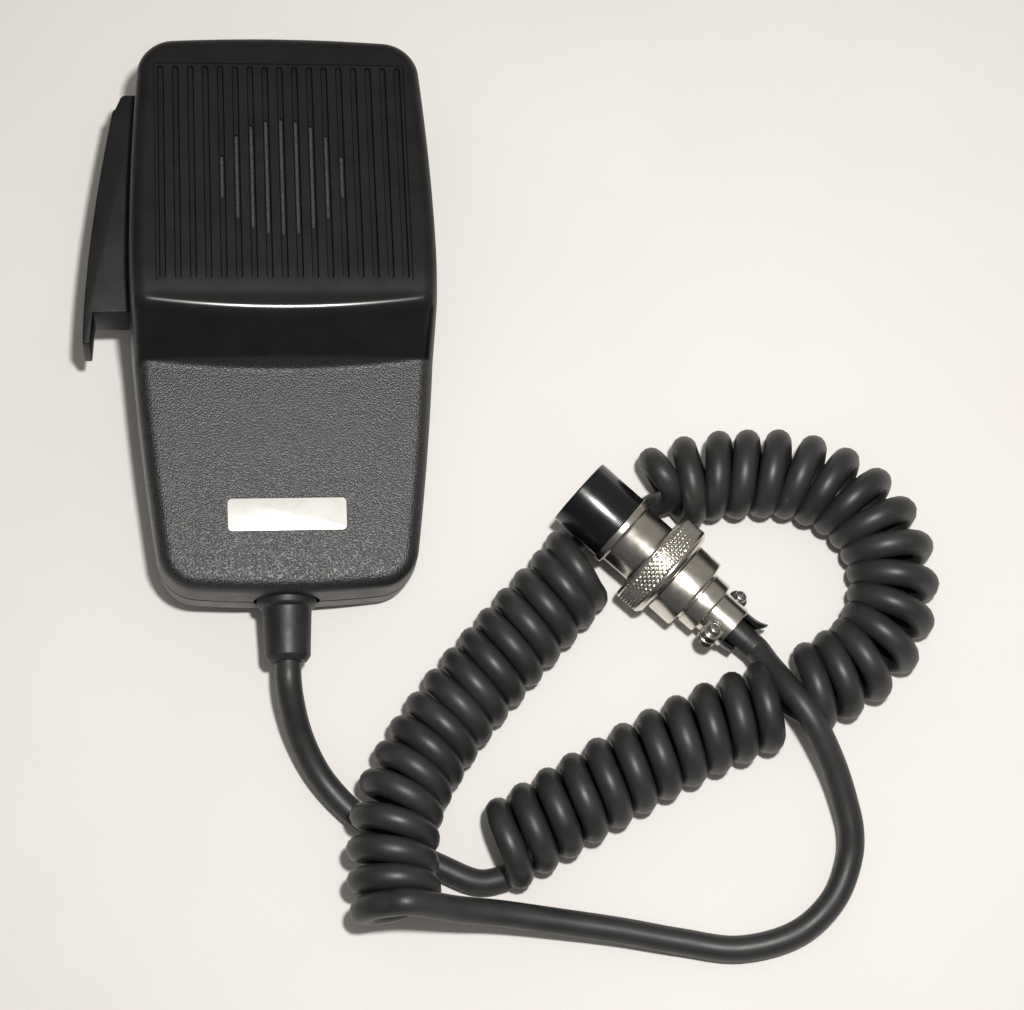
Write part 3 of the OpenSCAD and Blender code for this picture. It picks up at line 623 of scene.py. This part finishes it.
# ---- plug ----
BARREL_R, BARREL_L, FLANGE_R, FLANGE_END, SLEEVE_R, SLEEVE_BORE = 6.7, 10.2, 7.15, 11.5, 6.25, 5.4
RING_FROM, RING_TO, RING_R, RING_BORE = 17.6, 23.3, 9.65, 7.45
SLEEVE_TO, SHELL_TO, NECK_TO, CLAMP_TO, CORD_FROM = 23.6, 28.7, 32.6, 38, 41.2
CONTACT_PCD, CONTACT_ANGLES = 7.4, (45, 135, 225, 315)
CORD_R = 2.4
CLAMP_TURN, CLAMP_EAR_Y, CLAMP_EAR_R, CLAMP_R, CLAMP_BORE = 35, 5.4, 1.8, 4.3, CORD_R + 0.06
CLAMP_MIDDLE = -(NECK_TO + CLAMP_TO) / 2
KNURL_COUNT, KNURL_DEPTH, KNURL_LEAN = 58, 0.34, 0.9
TORN_OUT_R, TORN_IN_R, TORN_FROM_DEG, TORN_SWEEP_DEG = 3.95, 3.25, -125, 235


def plug_barrel():
    """The insulating insert, with four contact bores and the key slot."""
    profile = rounded([(ON_AXIS, -17), (5.3, -17, 0.2), (5.3, -BARREL_L), (BARREL_R, -BARREL_L, 0.1),
                       (BARREL_R, 0, 0.35), (ON_AXIS, 0)])
    piece = mesh_piece("plug_barrel", *disc_stack(profile, 120), PLUG)
    bores = [disc_stack([(1.35, -18), (1.35, -0.25), (1.6, 0.1), (1.6, 1)], 32,
                        polar(CONTACT_PCD / 2, math.radians(a))) for a in CONTACT_ANGLES]
    combine(piece, mesh_piece("cutter", *joined(bores), PLUG))
    key_slot = box_part((BARREL_R - 1, -1, -6), (BARREL_R + 2, 1, 2))
    combine(piece, mesh_piece("cutter", *key_slot, PLUG))
    finish_piece(piece, "barrel_plastic", "plug_insert", slot="insert_black")


def plug_sleeve():
    """The bright sleeve with its front flange."""
    profile = rounded([(SLEEVE_BORE, -BARREL_L), (FLANGE_R, -BARREL_L, 0.2), (FLANGE_R, -FLANGE_END, 0.25),
                       (SLEEVE_R + 0.1, -FLANGE_END - 0.25, 0.12), (SLEEVE_R, -FLANGE_END - 0.6),
                       (SLEEVE_R, -SLEEVE_TO, 0.15), (SLEEVE_BORE, -SLEEVE_TO)])
    piece = lathe("plug_collar_tube", profile, PLUG, 128)
    finish_piece(piece, "nickel", "plug_sleeve", slot="bright_nickel")


def knurl(angle, radius, z):
    """Diamond knurl on the coupling ring: two crossed families of V grooves."""
    depth_in = min(-z - (RING_FROM + 0.55), (RING_TO - 1.15) + z)
    if radius < RING_R - 0.01 or depth_in <= 0:
        return radius
    across = KNURL_COUNT * angle / (2 * math.pi)
    ridge = min(2 * abs((across + s * KNURL_LEAN * z) % 1 - 0.5) for s in (-1, 1))
    fade = min(depth_in / 0.3, 1)
    return radius - KNURL_DEPTH * fade * (1 - min(ridge * 1.25, 1))


def coupling_ring():
    """The knurled coupling ring, with a smooth rounded rim at its rear."""
    front, rear = -RING_FROM, -RING_TO
    band = [(RING_R, front - 0.45 - 4.4 * k / 44) for k in range(45)]
    outer = rounded([(RING_BORE, front), (RING_R - 0.45, front, 0.1), (RING_R, front - 0.45)])
    rim = rounded([(RING_R, rear + 0.85), (RING_R - 0.12, rear + 0.75, 0.1), (RING_R - 0.3, rear + 0.5, 0.3),
                   (RING_R - 0.95, rear, 0.3), (6.35, rear, 0.1), (6.35, rear + 1.5),
                   (RING_BORE, rear + 1.5)])
    piece = lathe("knurled_ring", outer + band[1:] + rim, PLUG, KNURL_COUNT * 8, knurl, sharp_deg=50)
    finish_piece(piece, "nickel", "coupling_ring", slot="bright_nickel", body="ring")


def plug_tail_shell():
    """The rear shell: lip, body, step and neck."""
    profile = rounded([(6.1, -SLEEVE_TO), (7.3, -SLEEVE_TO, 0.25), (7.3, -SHELL_TO, 0.4),
                       (5.15, -SHELL_TO - 0.05, 0.1), (5.15, -SHELL_TO - 0.55, 0.1),
                       (5.4, -SHELL_TO - 0.65, 0.1), (5.4, -NECK_TO, 0.3), (4.2, -NECK_TO, 0.1),
                       (4.2, -SHELL_TO + 1), (6.1, -SHELL_TO + 1)])
    piece = lathe("plug_tail_shell", profile, PLUG, 120)
    finish_piece(piece, "nickel", "plug_rear_shell", slot="bright_nickel")


def clamp_half(name, node, matrix):
    """Half of the cord clamp: a half ring with a rounded ear on each side."""
    arch = disc_stack([(CLAMP_R - 0.15, -CLAMP_TO), (CLAMP_R, -CLAMP_TO + 0.15), (CLAMP_R, -NECK_TO - 0.15),
                       (CLAMP_R - 0.15, -NECK_TO)], 64)
    piece = mesh_piece(name, *arch, matrix)
    ears = round_rect(2 * CLAMP_EAR_R, 2 * (CLAMP_EAR_Y + CLAMP_EAR_R), CLAMP_EAR_R - 0.02, 10)
    slim = [(u * 0.92, v * 0.98) for u, v in ears]
    plate = stack([(slim, 0.15), (ears, 0.28), (ears, 1.3), (slim, 1.45)])
    plate = moved(plate, shift(0, 0, CLAMP_MIDDLE) @ turn("Y", 90))
    bore = disc_stack([(CLAMP_BORE, -CLAMP_TO - 1), (CLAMP_BORE, -NECK_TO + 1)], 48)
    other_side = box_part((-9.85, -9, -CLAMP_TO - 1), (0.15, 9, -NECK_TO + 1))
    combine(piece, mesh_piece("cutter", *plate, matrix), "UNION")
    for part in (bore, other_side):
        combine(piece, mesh_piece("cutter", *part, matrix))
    finish_piece(piece, "nickel", node, slot="bright_nickel")


def cord_clamp():
    place = PLUG @ turn("Z", CLAMP_TURN)
    clamp_half("clamp_lower", "clamp_saddle", place)
    clamp_half("clamp_upper", "clamp_strap", place @ turn("Z", 180))
    places = [shift(-2.65, s * CLAMP_EAR_Y, CLAMP_MIDDLE) @ turn("Y", 90) for s in (-1, 1)]
    screws("clamp_screw_pair", CLAMP_SCREW, 4.9, places, place, "clamp_screws")


def cord_sleeve():
    """The remains of a sleeve behind the clamp: a trough under the cord, torn at its end."""
    draw = random.Random(7)
    row, levels, points, faces = 41, 14, [], []
    ragged = [0.25 * draw.random() for _ in range(row)]
    for skin_r in (TORN_OUT_R, TORN_IN_R):
        for j in range(levels + 1):
            for i in range(row):
                flap = math.exp(-((i - 5) / 5) ** 2)
                end = CORD_FROM + 1.1 * flap - 0.9 * (1 - flap) * (i / (row - 1)) + ragged[i]
                share = j / levels
                r = skin_r - 0.35 * share ** 2 * (1 - flap) + 0.9 * flap * share ** 3
                around = polar(r, math.radians(TORN_FROM_DEG + TORN_SWEEP_DEG * i / (row - 1)))
                points.append((*around, -CLAMP_TO - (end - CLAMP_TO) * share))
    skin_n = row * (levels + 1)
    for base in (0, skin_n):
        starts = [base + j * row + i for j in range(levels) for i in range(row - 1)]
        faces += [(k, k + 1, k + row + 1, k + row) for k in starts]
    edge = [*range(row), *(j * row + row - 1 for j in range(1, levels + 1)),
            *(levels * row + i for i in range(row - 2, -1, -1)), *(j * row for j in range(levels - 1, 0, -1))]
    faces += quads(edge, [skin_n + k for k in edge])
    piece = mesh_piece("cord_sleeve_worn", points, faces, PLUG)
    finish_piece(piece, "sleeve_rubber", "cord_sleeve", slot="black_rubber")


# ---- cord ----
COIL_R, COIL_TURNS, COIL_START_DEG, COIL_LEAN, COIL_SPREAD = 6.0, 46, -20, -1.5, 0.4
RING_TRAVEL, CLEAR_OF_PLUG, SMOOTHINGS = 3.0, CORD_R + 0.1, 60
GAP_STEPS, JOIN_L, JOIN_POINTS = 24, 3, 8
# Where the tail and the barrel lie between two spread turns: place on the axis, half width
GAPS = [((92.1, -74.4), 3.6), ((62.8, -41.5), 9.2)]
BOOT_TIP = Vector((BOOT_X * math.cos(ROLL) + BOOT_Z * math.sin(ROLL), -64,
                   LIFT - BOOT_X * math.sin(ROLL) + BOOT_Z * math.cos(ROLL)))
PLUG_DIR = Vector((*polar(math.cos(PLUG_PITCH), PLUG_YAW), math.sin(PLUG_PITCH)))
PLUG_BACK = PLUG_FRONT - CORD_FROM * PLUG_DIR
LEAD_ROUTE = [BOOT_TIP, BOOT_TIP - Vector((0, 3, 0)), (1.3, -70.6, 11.8), (2.4, -77, 7.8), (5.4, -84, 4.6),
              (10.8, -90.6, 3.1), (18.6, -96.8, 2.6), (26.6, -101.4, 2.5), (34, -104.6, 2.6)]
COIL_ROUTE = [
    (38.4, -99, 8.4), (51, -92.2, 8.4), (64, -85.4, 8.4), (75.6, -80.2, 8.4), (87, -76.2, 8.4),
    (98.4, -72.2, 8.4), (107.8, -66.2, 8.4), (112.1, -57.6, 8.4), (111.9, -47.6, 8.4), (106.6, -38.8, 8.4),
    (96.4, -33.2, 8.4), (85.2, -32.2, 8.4), (77.6, -32.6, 8.4), (70.6, -35.6, 8.4), (64.6, -40, 8.4),
    (55.5, -48.6, 8.4), (46.8, -57, 8.4), (39, -65, 8.4), (31.3, -73.2, 8.4), (24.8, -82, 9.6),
    (20.4, -90.4, 11.4), (19, -98, 12.6), (19, -104.8, 13.4), (19.6, -110.2, 14.4)]
TAIL_ROUTE = [
    (30.5, -110, 14), (37.4, -110.8, 10.4), (48, -112.6, 7), (58.8, -114.6, 4.8), (69.6, -117, 3.2),
    (80.2, -118.8, 2.6), (91, -116.4, 2.8), (97.8, -110.6, 3.6), (101, -103.4, 4.6), (101.4, -98.7, 6),
    (100.5, -93.4, 7.6), (99.1, -88.3, 9.6), (97.3, -83.7, 11.8), (95.3, -79.4, 13.4), (93.4, -76.2, 13.6),
    (91.2, -73, 12.4), (88.2, -68, 9.2), PLUG_BACK - 2.5 * PLUG_DIR, PLUG_BACK]


def between(first, last, start, end, at):
    return first * ((end - at) / (end - start)) + last * ((at - start) / (end - start))


def smooth_path(route, spans):
    """Points on a centripetal curve through a route, the given number to each stretch."""
    pts = [Vector(p) for p in route]
    pts = [2 * pts[0] - pts[1], *pts, 2 * pts[-1] - pts[-2]]
    made = []
    for k in range(1, len(pts) - 2):
        p = pts[k - 1:k + 3]
        t = [0]
        for i in range(3):
            t.append(t[-1] + max((p[i + 1] - p[i]).length, 1e-6) ** 0.5)
        for i in range(spans):
            u = t[1] + (t[2] - t[1]) * i / spans
            a = [between(p[j], p[j + 1], t[j], t[j + 1], u) for j in range(3)]
            b = [between(a[j], a[j + 1], t[j], t[j + 2], u) for j in range(2)]
            made.append(between(b[0], b[1], t[1], t[2], u))
    made.append(pts[-2])
    return made


def even_path(path, step):
    """The same line with points a fixed step apart."""
    lengths = [0]
    for a, b in zip(path, path[1:]):
        lengths.append(lengths[-1] + (b - a).length)
    count = max(2, round(lengths[-1] / step))
    made, k = [], 0
    for i in range(count + 1):
        want = lengths[-1] * i / count
        while k < len(path) - 2 and lengths[k + 1] < want:
            k += 1
        share = (want - lengths[k]) / (lengths[k + 1] - lengths[k])
        made.append(path[k].lerp(path[k + 1], share))
    return made


def coil_turns():
    """The helix: spread where its axis bends, and opened by half a turn at each gap."""
    step, reach = 0.25, 16
    axis = even_path(smooth_path(COIL_ROUTE, 30), step)
    n = len(axis)
    along = [(axis[min(k + reach, n - 1)] - axis[max(k - reach, 0)]).normalized() for k in range(n)]
    bend = [along[max(k - reach, 0)].angle(along[min(k + reach, n - 1)])
            / (step * (min(k + reach, n - 1) - max(k - reach, 0))) for k in range(n)]
    density = [1 - COIL_SPREAD * COIL_R * b for b in bend]
    rate = 2 * math.pi * COIL_TURNS / sum(density)
    gaps = [(min(range(n), key=lambda k: (axis[k].to_2d() - Vector(place)).length), half / step)
            for place, half in GAPS]
    angle, at, knots = math.radians(COIL_START_DEG), 0, []
    for centre, half in [*gaps, (None, 0)]:
        end = n - 1 if centre is None else centre - half
        inside = [k for k in range(n) if at < k < end]
        whole = sum(density[k] for k in inside) * rate
        mark = math.pi / 2 if centre is None else math.pi
        want = 2 * math.pi * round((angle + whole - mark) / (2 * math.pi)) + mark - angle
        done = 0
        knots.append((angle, at))
        for k in inside:
            done += density[k] * rate * want / whole
            knots.append((angle + done, k))
        angle += want
        if centre is not None:
            turned = [math.radians(180 / GAP_STEPS * i) for i in range(GAP_STEPS)]
            knots += [(angle + a, centre - half * math.cos(a)) for a in turned]
            angle, at = angle + math.pi, centre + half
    knots.append((angle, n - 1))
    made, k, mark = [], 0, knots[0][0]
    while mark <= knots[-1][0]:
        while knots[k + 1][0] < mark:
            k += 1
        share = (mark - knots[k][0]) / max(knots[k + 1][0] - knots[k][0], 1e-9)
        place = knots[k][1] + (knots[k + 1][1] - knots[k][1]) * share
        low = min(int(place), n - 2)
        centre = axis[low].lerp(axis[low + 1], place - low)
        side = along[low].cross(Vector((0, 0, 1))).normalized()
        up = side.cross(along[low])
        lean = COIL_LEAN * COIL_R * bend[low] * math.sin(mark)
        made.append(centre + COIL_R * (math.cos(mark) * side + math.sin(mark) * up) + lean * along[low])
        mark += 2 * math.pi / POINTS_A_TURN
    return beside_plug(made)


def beside_plug(line):
    """The line pressed aside where the plug lies, clear of the ring all along its travel."""
    gap = CLEAR_OF_PLUG
    front = RING_FROM - RING_TRAVEL - gap
    offset = [Vector() for _ in line]
    for _ in range(SMOOTHINGS):
        offset = [(offset[max(k - 1, 0)] + 2 * v + offset[min(k + 1, len(line) - 1)]) / 4
                  for k, v in enumerate(offset)]
        for k, start in enumerate(line):
            place = start + offset[k]
            back = (PLUG_FRONT - place).dot(PLUG_DIR)
            out = place - PLUG_FRONT + back * PLUG_DIR
            if front < back < RING_TO + gap and out.length < RING_R + gap:
                ahead, aside = back - front, RING_R + gap - out.length
                under = out.z < -0.6 * out.length
                offset[k] += PLUG_DIR * ahead if under or ahead < aside else out.normalized() * aside
            elif -gap < back <= front and out.length < FLANGE_R + gap:
                offset[k] += out.normalized() * (FLANGE_R + gap - out.length)
            offset[k].z = max(offset[k].z, CORD_R - start.z)
    return [start + move for start, move in zip(line, offset)]


def make_cord():
    turns = coil_turns()
    first, last = turns[0], turns[-1]
    out, away = (turns[1] - first).normalized() * JOIN_L, (last - turns[-2]).normalized() * JOIN_L
    lead = smooth_path([*LEAD_ROUTE, first - out, first, first + out], JOIN_POINTS)[:-JOIN_POINTS]
    tail = smooth_path([last - away, last, last + away, *TAIL_ROUTE], JOIN_POINTS)[JOIN_POINTS:]
    line = [*lead[:-1], *turns[:-1], *tail]
    data = bpy.data.curves.new("curly_cord", "CURVE")
    data.dimensions = "3D"
    data.bevel_depth = CORD_R * MM
    data.bevel_resolution = 5
    data.use_fill_caps = True
    spline = data.splines.new("POLY")
    spline.points.add(len(line) - 1)
    for point, place in zip(spline.points, line):
        point.co = (*((place + ORIGIN) * MM), 1)
    spline.use_smooth = True
    piece = bpy.data.objects.new("curly_cord", data)
    bpy.context.scene.collection.objects.link(piece)
    data.materials.append(LOOKS["cord"])
    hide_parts("cord_lead", "cord_coil", "cord_crossing", "cord_coil_rear", "cord_tail")
    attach(piece, CASE_BODY)
    length = sum((b - a).length for a, b in zip(line, line[1:])) * MM
    return piece, length


# ---- materials ----
def feed(tree, socket, value):
    """Gives a socket a value, or links another node's output to it."""
    if isinstance(value, bpy.types.NodeSocket):
        tree.links.new(value, socket)
    else:
        socket.default_value = value


def add(tree, kind, settings=None, **inputs):
    """A shader node; an input is a value or another node's output."""
    made = tree.nodes.new("ShaderNode" + kind)
    for key, value in (settings or {}).items():
        setattr(made, key, value)
    for key, value in inputs.items():
        feed(tree, made.inputs[key.replace("_", " ")], value)
    return made


def maths(tree, operation, *values):
    made = add(tree, "Math", {"operation": operation})
    for socket, value in zip(made.inputs, values):
        feed(tree, socket, value)
    return made.outputs["Value"]


def fade(tree, source, start, end, low=0.0, high=1.0):
    """Goes from low to high as the source goes from start to end."""
    return add(tree, "MapRange", Value=source, From_Min=start, From_Max=end, To_Min=low,
               To_Max=high).outputs["Result"]


def ramp(tree, source, stops):
    """A colour or grey ramp; stops are (position, value)."""
    made = add(tree, "ValToRGB", Fac=source)
    elements = made.color_ramp.elements
    while len(elements) < len(stops):
        elements.new(0.5)
    for element, (position, value) in zip(elements, stops):
        element.position = position
        colour = value if isinstance(value, tuple) else (value, value, value)
        element.color = (*colour, 1)
    return made.outputs["Color"]


def blank(name, **sockets):
    material = bpy.data.materials.new(name)
    material.use_nodes = True
    shader = material.node_tree.nodes["Principled BSDF"]
    for key, value in sockets.items():
        shader.inputs[key.replace("_", " ")].default_value = value
    where = add(material.node_tree, "TexCoord").outputs["Object"]
    LOOKS[name] = material
    return material.node_tree, shader, where


def noise(tree, where, size_mm, detail=3, roughness=0.55):
    """Noise whose features are about size_mm across."""
    return add(tree, "TexNoise", Vector=where, Scale=1000 / size_mm, Detail=detail,
               Roughness=roughness).outputs["Fac"]


def dress(tree, shader, colour, rough):
    feed(tree, shader.inputs["Base Color"], colour)
    feed(tree, shader.inputs["Roughness"], rough)


def bump(tree, shader, height, depth_mm):
    made = add(tree, "Bump", Height=height, Strength=1.0, Distance=depth_mm * MM)
    feed(tree, shader.inputs["Normal"], made.outputs["Normal"])


def simple_look(name, dark, light, rough, mottle_mm=3, grain_mm=0.2, depth_mm=0.01, **sockets):
    """Mottled colour, uneven gloss and fine grain."""
    tree, shader, where = blank(name, **sockets)
    colour = ramp(tree, noise(tree, where, mottle_mm), [(0.35, dark), (0.65, light)])
    gloss = ramp(tree, noise(tree, where, mottle_mm * 0.6, 4), [(0.3, rough[0]), (0.7, rough[1])])
    dress(tree, shader, colour, gloss)
    bump(tree, shader, noise(tree, where, grain_mm, 2), depth_mm)


def case_look():
    """Black moulding: satin round the grille, polished step, fine leather grain on the lower face."""
    tree, shader, where = blank("case_plastic", IOR=1.5)
    split = add(tree, "SeparateXYZ", Vector=where).outputs      # in metres, in the case's own frame
    lower = fade(tree, split["Y"], -0.0092, -0.0100)
    front = fade(tree, split["Z"], 0.0156, 0.0172)
    grained = maths(tree, "MULTIPLY", lower, front)
    above_foot = fade(tree, split["Y"], -0.0100, -0.0092)
    below_crest = fade(tree, split["Y"], 0.0009, -0.0006)
    on_face = fade(tree, maths(tree, "ABSOLUTE", split["X"]), 0.0282, 0.0262)
    polished = maths(tree, "MULTIPLY", maths(tree, "MULTIPLY", above_foot, below_crest), on_face)
    cells = add(tree, "TexVoronoi", {"feature": "F1"}, Vector=where, Scale=3500, Randomness=1.0)
    cell = cells.outputs["Distance"]
    plain = ramp(tree, noise(tree, where, 6, 4),
                 [(0.35, (0.0045, 0.0045, 0.005)), (0.65, (0.0075, 0.0075, 0.008))])
    leather = ramp(tree, cell, [(0.1, (0.024, 0.024, 0.025)), (0.7, (0.008, 0.008, 0.0085))])
    colour = add(tree, "Mix", {"data_type": "RGBA"}, Factor=grained)
    feed(tree, colour.inputs[6], plain)
    feed(tree, colour.inputs[7], leather)
    satin = ramp(tree, noise(tree, where, 4, 4), [(0.3, 0.40), (0.7, 0.50)])
    gloss = add(tree, "Mix", {"data_type": "FLOAT"}, Factor=polished, A=satin, B=0.17).outputs["Result"]
    rough = add(tree, "Mix", {"data_type": "FLOAT"}, Factor=grained, A=gloss, B=0.40).outputs["Result"]
    dress(tree, shader, colour.outputs[2], rough)
    feed(tree, shader.inputs["Specular IOR Level"], fade(tree, split["Y"], -0.0010, 0.0060, 0.7, 0.34))
    pores = maths(tree, "MULTIPLY", ramp(tree, cell, [(0.0, 1.0), (0.75, 0.0)]), grained)
    fine = maths(tree, "MULTIPLY_ADD", noise(tree, where, 0.35, 3), 0.22, pores)
    bump(tree, shader, maths(tree, "MULTIPLY", fine, fade(tree, polished, 0.0, 1.0, 1.0, 0.06)), 0.06)


def felt_look():
    tree, shader, where = blank("felt", Sheen_Weight=0.4, Sheen_Roughness=0.5)
    fibre = noise(tree, where, 0.5, 6, 0.7)
    dress(tree, shader, ramp(tree, fibre, [(0.3, (0.02, 0.02, 0.022)), (0.7, (0.085, 0.085, 0.09))]), 0.95)
    bump(tree, shader, fibre, 0.12)


def label_look():
    """Silvered foil with dulled patches."""
    tree, shader, where = blank("label_metal", Metallic=0.35)
    patch = noise(tree, where, 5, 5, 0.65)
    colour = ramp(tree, patch, [(0.3, (0.62, 0.62, 0.58)), (0.55, (0.80, 0.80, 0.77)),
                                (0.8, (0.86, 0.85, 0.80))])
    dress(tree, shader, colour, ramp(tree, patch, [(0.3, 0.45), (0.7, 0.3)]))
    bump(tree, shader, noise(tree, where, 0.4, 3), 0.01)


def make_looks():
    case_look()
    felt_look()
    label_look()
    # two colours, range of roughness, then mottle, grain and depth of grain in millimetres
    simple_look("lever_plastic", (0.003, 0.003, 0.0035), (0.006, 0.006, 0.0065), (0.45, 0.6), 6, 0.35, 0.012,
                IOR=1.36)
    simple_look("rubber", (0.010, 0.010, 0.0105), (0.018, 0.018, 0.019), (0.42, 0.55), 4, 0.3, 0.02)
    simple_look("sleeve_rubber", (0.007, 0.007, 0.008), (0.013, 0.013, 0.014), (0.22, 0.34), 3, 0.4, 0.02)
    simple_look("cord", (0.0165, 0.0170, 0.0170), (0.0260, 0.0265, 0.0265), (0.40, 0.50), 9, 0.5, 0.015,
                IOR=1.5)
    simple_look("barrel_plastic", (0.004, 0.004, 0.005), (0.007, 0.007, 0.008), (0.17, 0.24), 5, 0.6, 0.004,
                IOR=1.54)
    simple_look("nickel", (0.62, 0.59, 0.53), (0.72, 0.69, 0.63), (0.20, 0.28), 3, 0.5, 0.004, Metallic=1.0)
    simple_look("steel", (0.50, 0.50, 0.50), (0.62, 0.62, 0.61), (0.24, 0.36), 2, 0.3, 0.008, Metallic=1.0)
    simple_look("satin_metal", (0.44, 0.44, 0.45), (0.56, 0.56, 0.56), (0.26, 0.38), 3, 0.25, 0.008,
                Metallic=1.0)
    simple_look("brass", (0.70, 0.52, 0.24), (0.80, 0.62, 0.32), (0.2, 0.34), 2, 0.3, 0.006, Metallic=1.0)
    simple_look("copper", (0.60, 0.26, 0.13), (0.70, 0.34, 0.18), (0.25, 0.4), 1, 0.15, 0.02, Metallic=1.0)
    simple_look("film", (0.62, 0.55, 0.34), (0.72, 0.66, 0.45), (0.2, 0.3), 3, 0.3, 0.01)
    simple_look("pale_plastic", (0.66, 0.66, 0.63), (0.76, 0.76, 0.72), (0.35, 0.5), 2, 0.3, 0.01)
    simple_look("switch_plastic", (0.010, 0.010, 0.011), (0.02, 0.02, 0.021), (0.3, 0.42), 2, 0.3, 0.01)
    simple_look("wire_red", (0.42, 0.03, 0.02), (0.52, 0.05, 0.03), (0.35, 0.5), 2, 0.2, 0.01)
    simple_look("wire_white", (0.66, 0.66, 0.64), (0.76, 0.76, 0.74), (0.35, 0.5), 2, 0.2, 0.01)
    simple_look("wire_black", (0.012, 0.012, 0.012), (0.02, 0.02, 0.02), (0.35, 0.5), 2, 0.2, 0.01)


CAD_LOOKS = {
    "capsule_gasket": "rubber", "capsule_cover": "satin_metal", "capsule_diaphragm": "film",
    "voice_coil": "copper", "capsule_magnet": "steel", "capsule_housing": "satin_metal",
    "capsule_terminals": "brass", "lever_pivot_pin": "steel", "switch_body": "switch_plastic",
    "switch_plunger": "pale_plastic", "switch_terminals": "brass", "switch_screws": "steel",
    "cord_case_end": "cord", "cord_tie": "pale_plastic", "wire_red": "wire_red",
    "wire_white": "wire_white", "wire_black": "wire_black", "plug_contacts": "brass",
    "slip_washer": "brass", "cord_plug_end": "cord",
}


def dress_cad_nodes():
    for name, look in CAD_LOOKS.items():
        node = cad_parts[name]
        node.data.materials.clear()
        node.data.materials.append(LOOKS[look])


# ---- stage ----
FLOOR_HALF = 3000
LIGHT_AIM = Vector((0.045, -0.03, 0.01))


def make_floor():
    tree, shader, where = blank("floor_cloth")
    spots = noise(tree, where, 60, 3)
    dress(tree, shader, ramp(tree, spots, [(0.3, (0.80, 0.775, 0.75)), (0.7, (0.83, 0.81, 0.79))]), 0.9)
    bump(tree, shader, noise(tree, where, 0.8, 3), 0.05)
    corners = [(u * FLOOR_HALF, v * FLOOR_HALF, 0) for u, v in ((-1, -1), (1, -1), (1, 1), (-1, 1))]
    floor = mesh_piece("floor", corners, [(0, 1, 2, 3)], Matrix.Identity(4))
    floor.data.materials.append(LOOKS["floor_cloth"])


def area_light(name, place, size, power, colour):
    data = bpy.data.lights.new(name, "AREA")
    data.shape = "DISK"
    data.size = size
    data.energy = power
    data.color = colour
    light = bpy.data.objects.new(name, data)
    light.location = place
    light.rotation_euler = (Vector(place) - LIGHT_AIM).to_track_quat("Z", "Y").to_euler()
    bpy.context.scene.collection.objects.link(light)


def make_light():
    area_light("key", (0.094, -0.078, 0.426), 0.022, 1.68, (1.0, 0.985, 0.955))
    area_light("glow", (0.085, -0.075, 0.43), 0.16, 0.10, (1.0, 0.98, 0.95))
    world = bpy.data.worlds.new("room")
    world.use_nodes = True
    tree = world.node_tree
    back = tree.nodes["Background"]
    where = add(tree, "TexCoord").outputs["Generated"]
    slant = add(tree, "VectorMath", {"operation": "DOT_PRODUCT"})
    feed(tree, slant.inputs[0], where)
    feed(tree, slant.inputs[1], (0.55, 0.6, 0.45))
    feed(tree, back.inputs["Color"], ramp(tree, fade(tree, slant.outputs["Value"], -1.0, 1.0), [
        (0.25, (0.10, 0.10, 0.105)), (0.55, (0.19, 0.185, 0.175)), (0.85, (0.30, 0.285, 0.26))]))
    feed(tree, back.inputs["Strength"], 1.0)
    bpy.context.scene.world = world
    bpy.context.scene.view_settings.view_transform = "Standard"


# ---- making ----
make_camera()
make_looks()
cord_piece, cord_length = make_cord()

front_case()
rear_case()
label_piece()
felt_disc()
lever()
lever_spring()
boot()
screws("case_screw_set", CASE_SCREW, 12.5, [shift(x, y, 1.4) for x, y in SCREW_PLACES], LIE, "case_screws")
hang_knob()

plug_barrel()
plug_sleeve()
coupling_ring()
plug_tail_shell()
cord_clamp()
cord_sleeve()
dress_cad_nodes()

make_floor()
make_light()
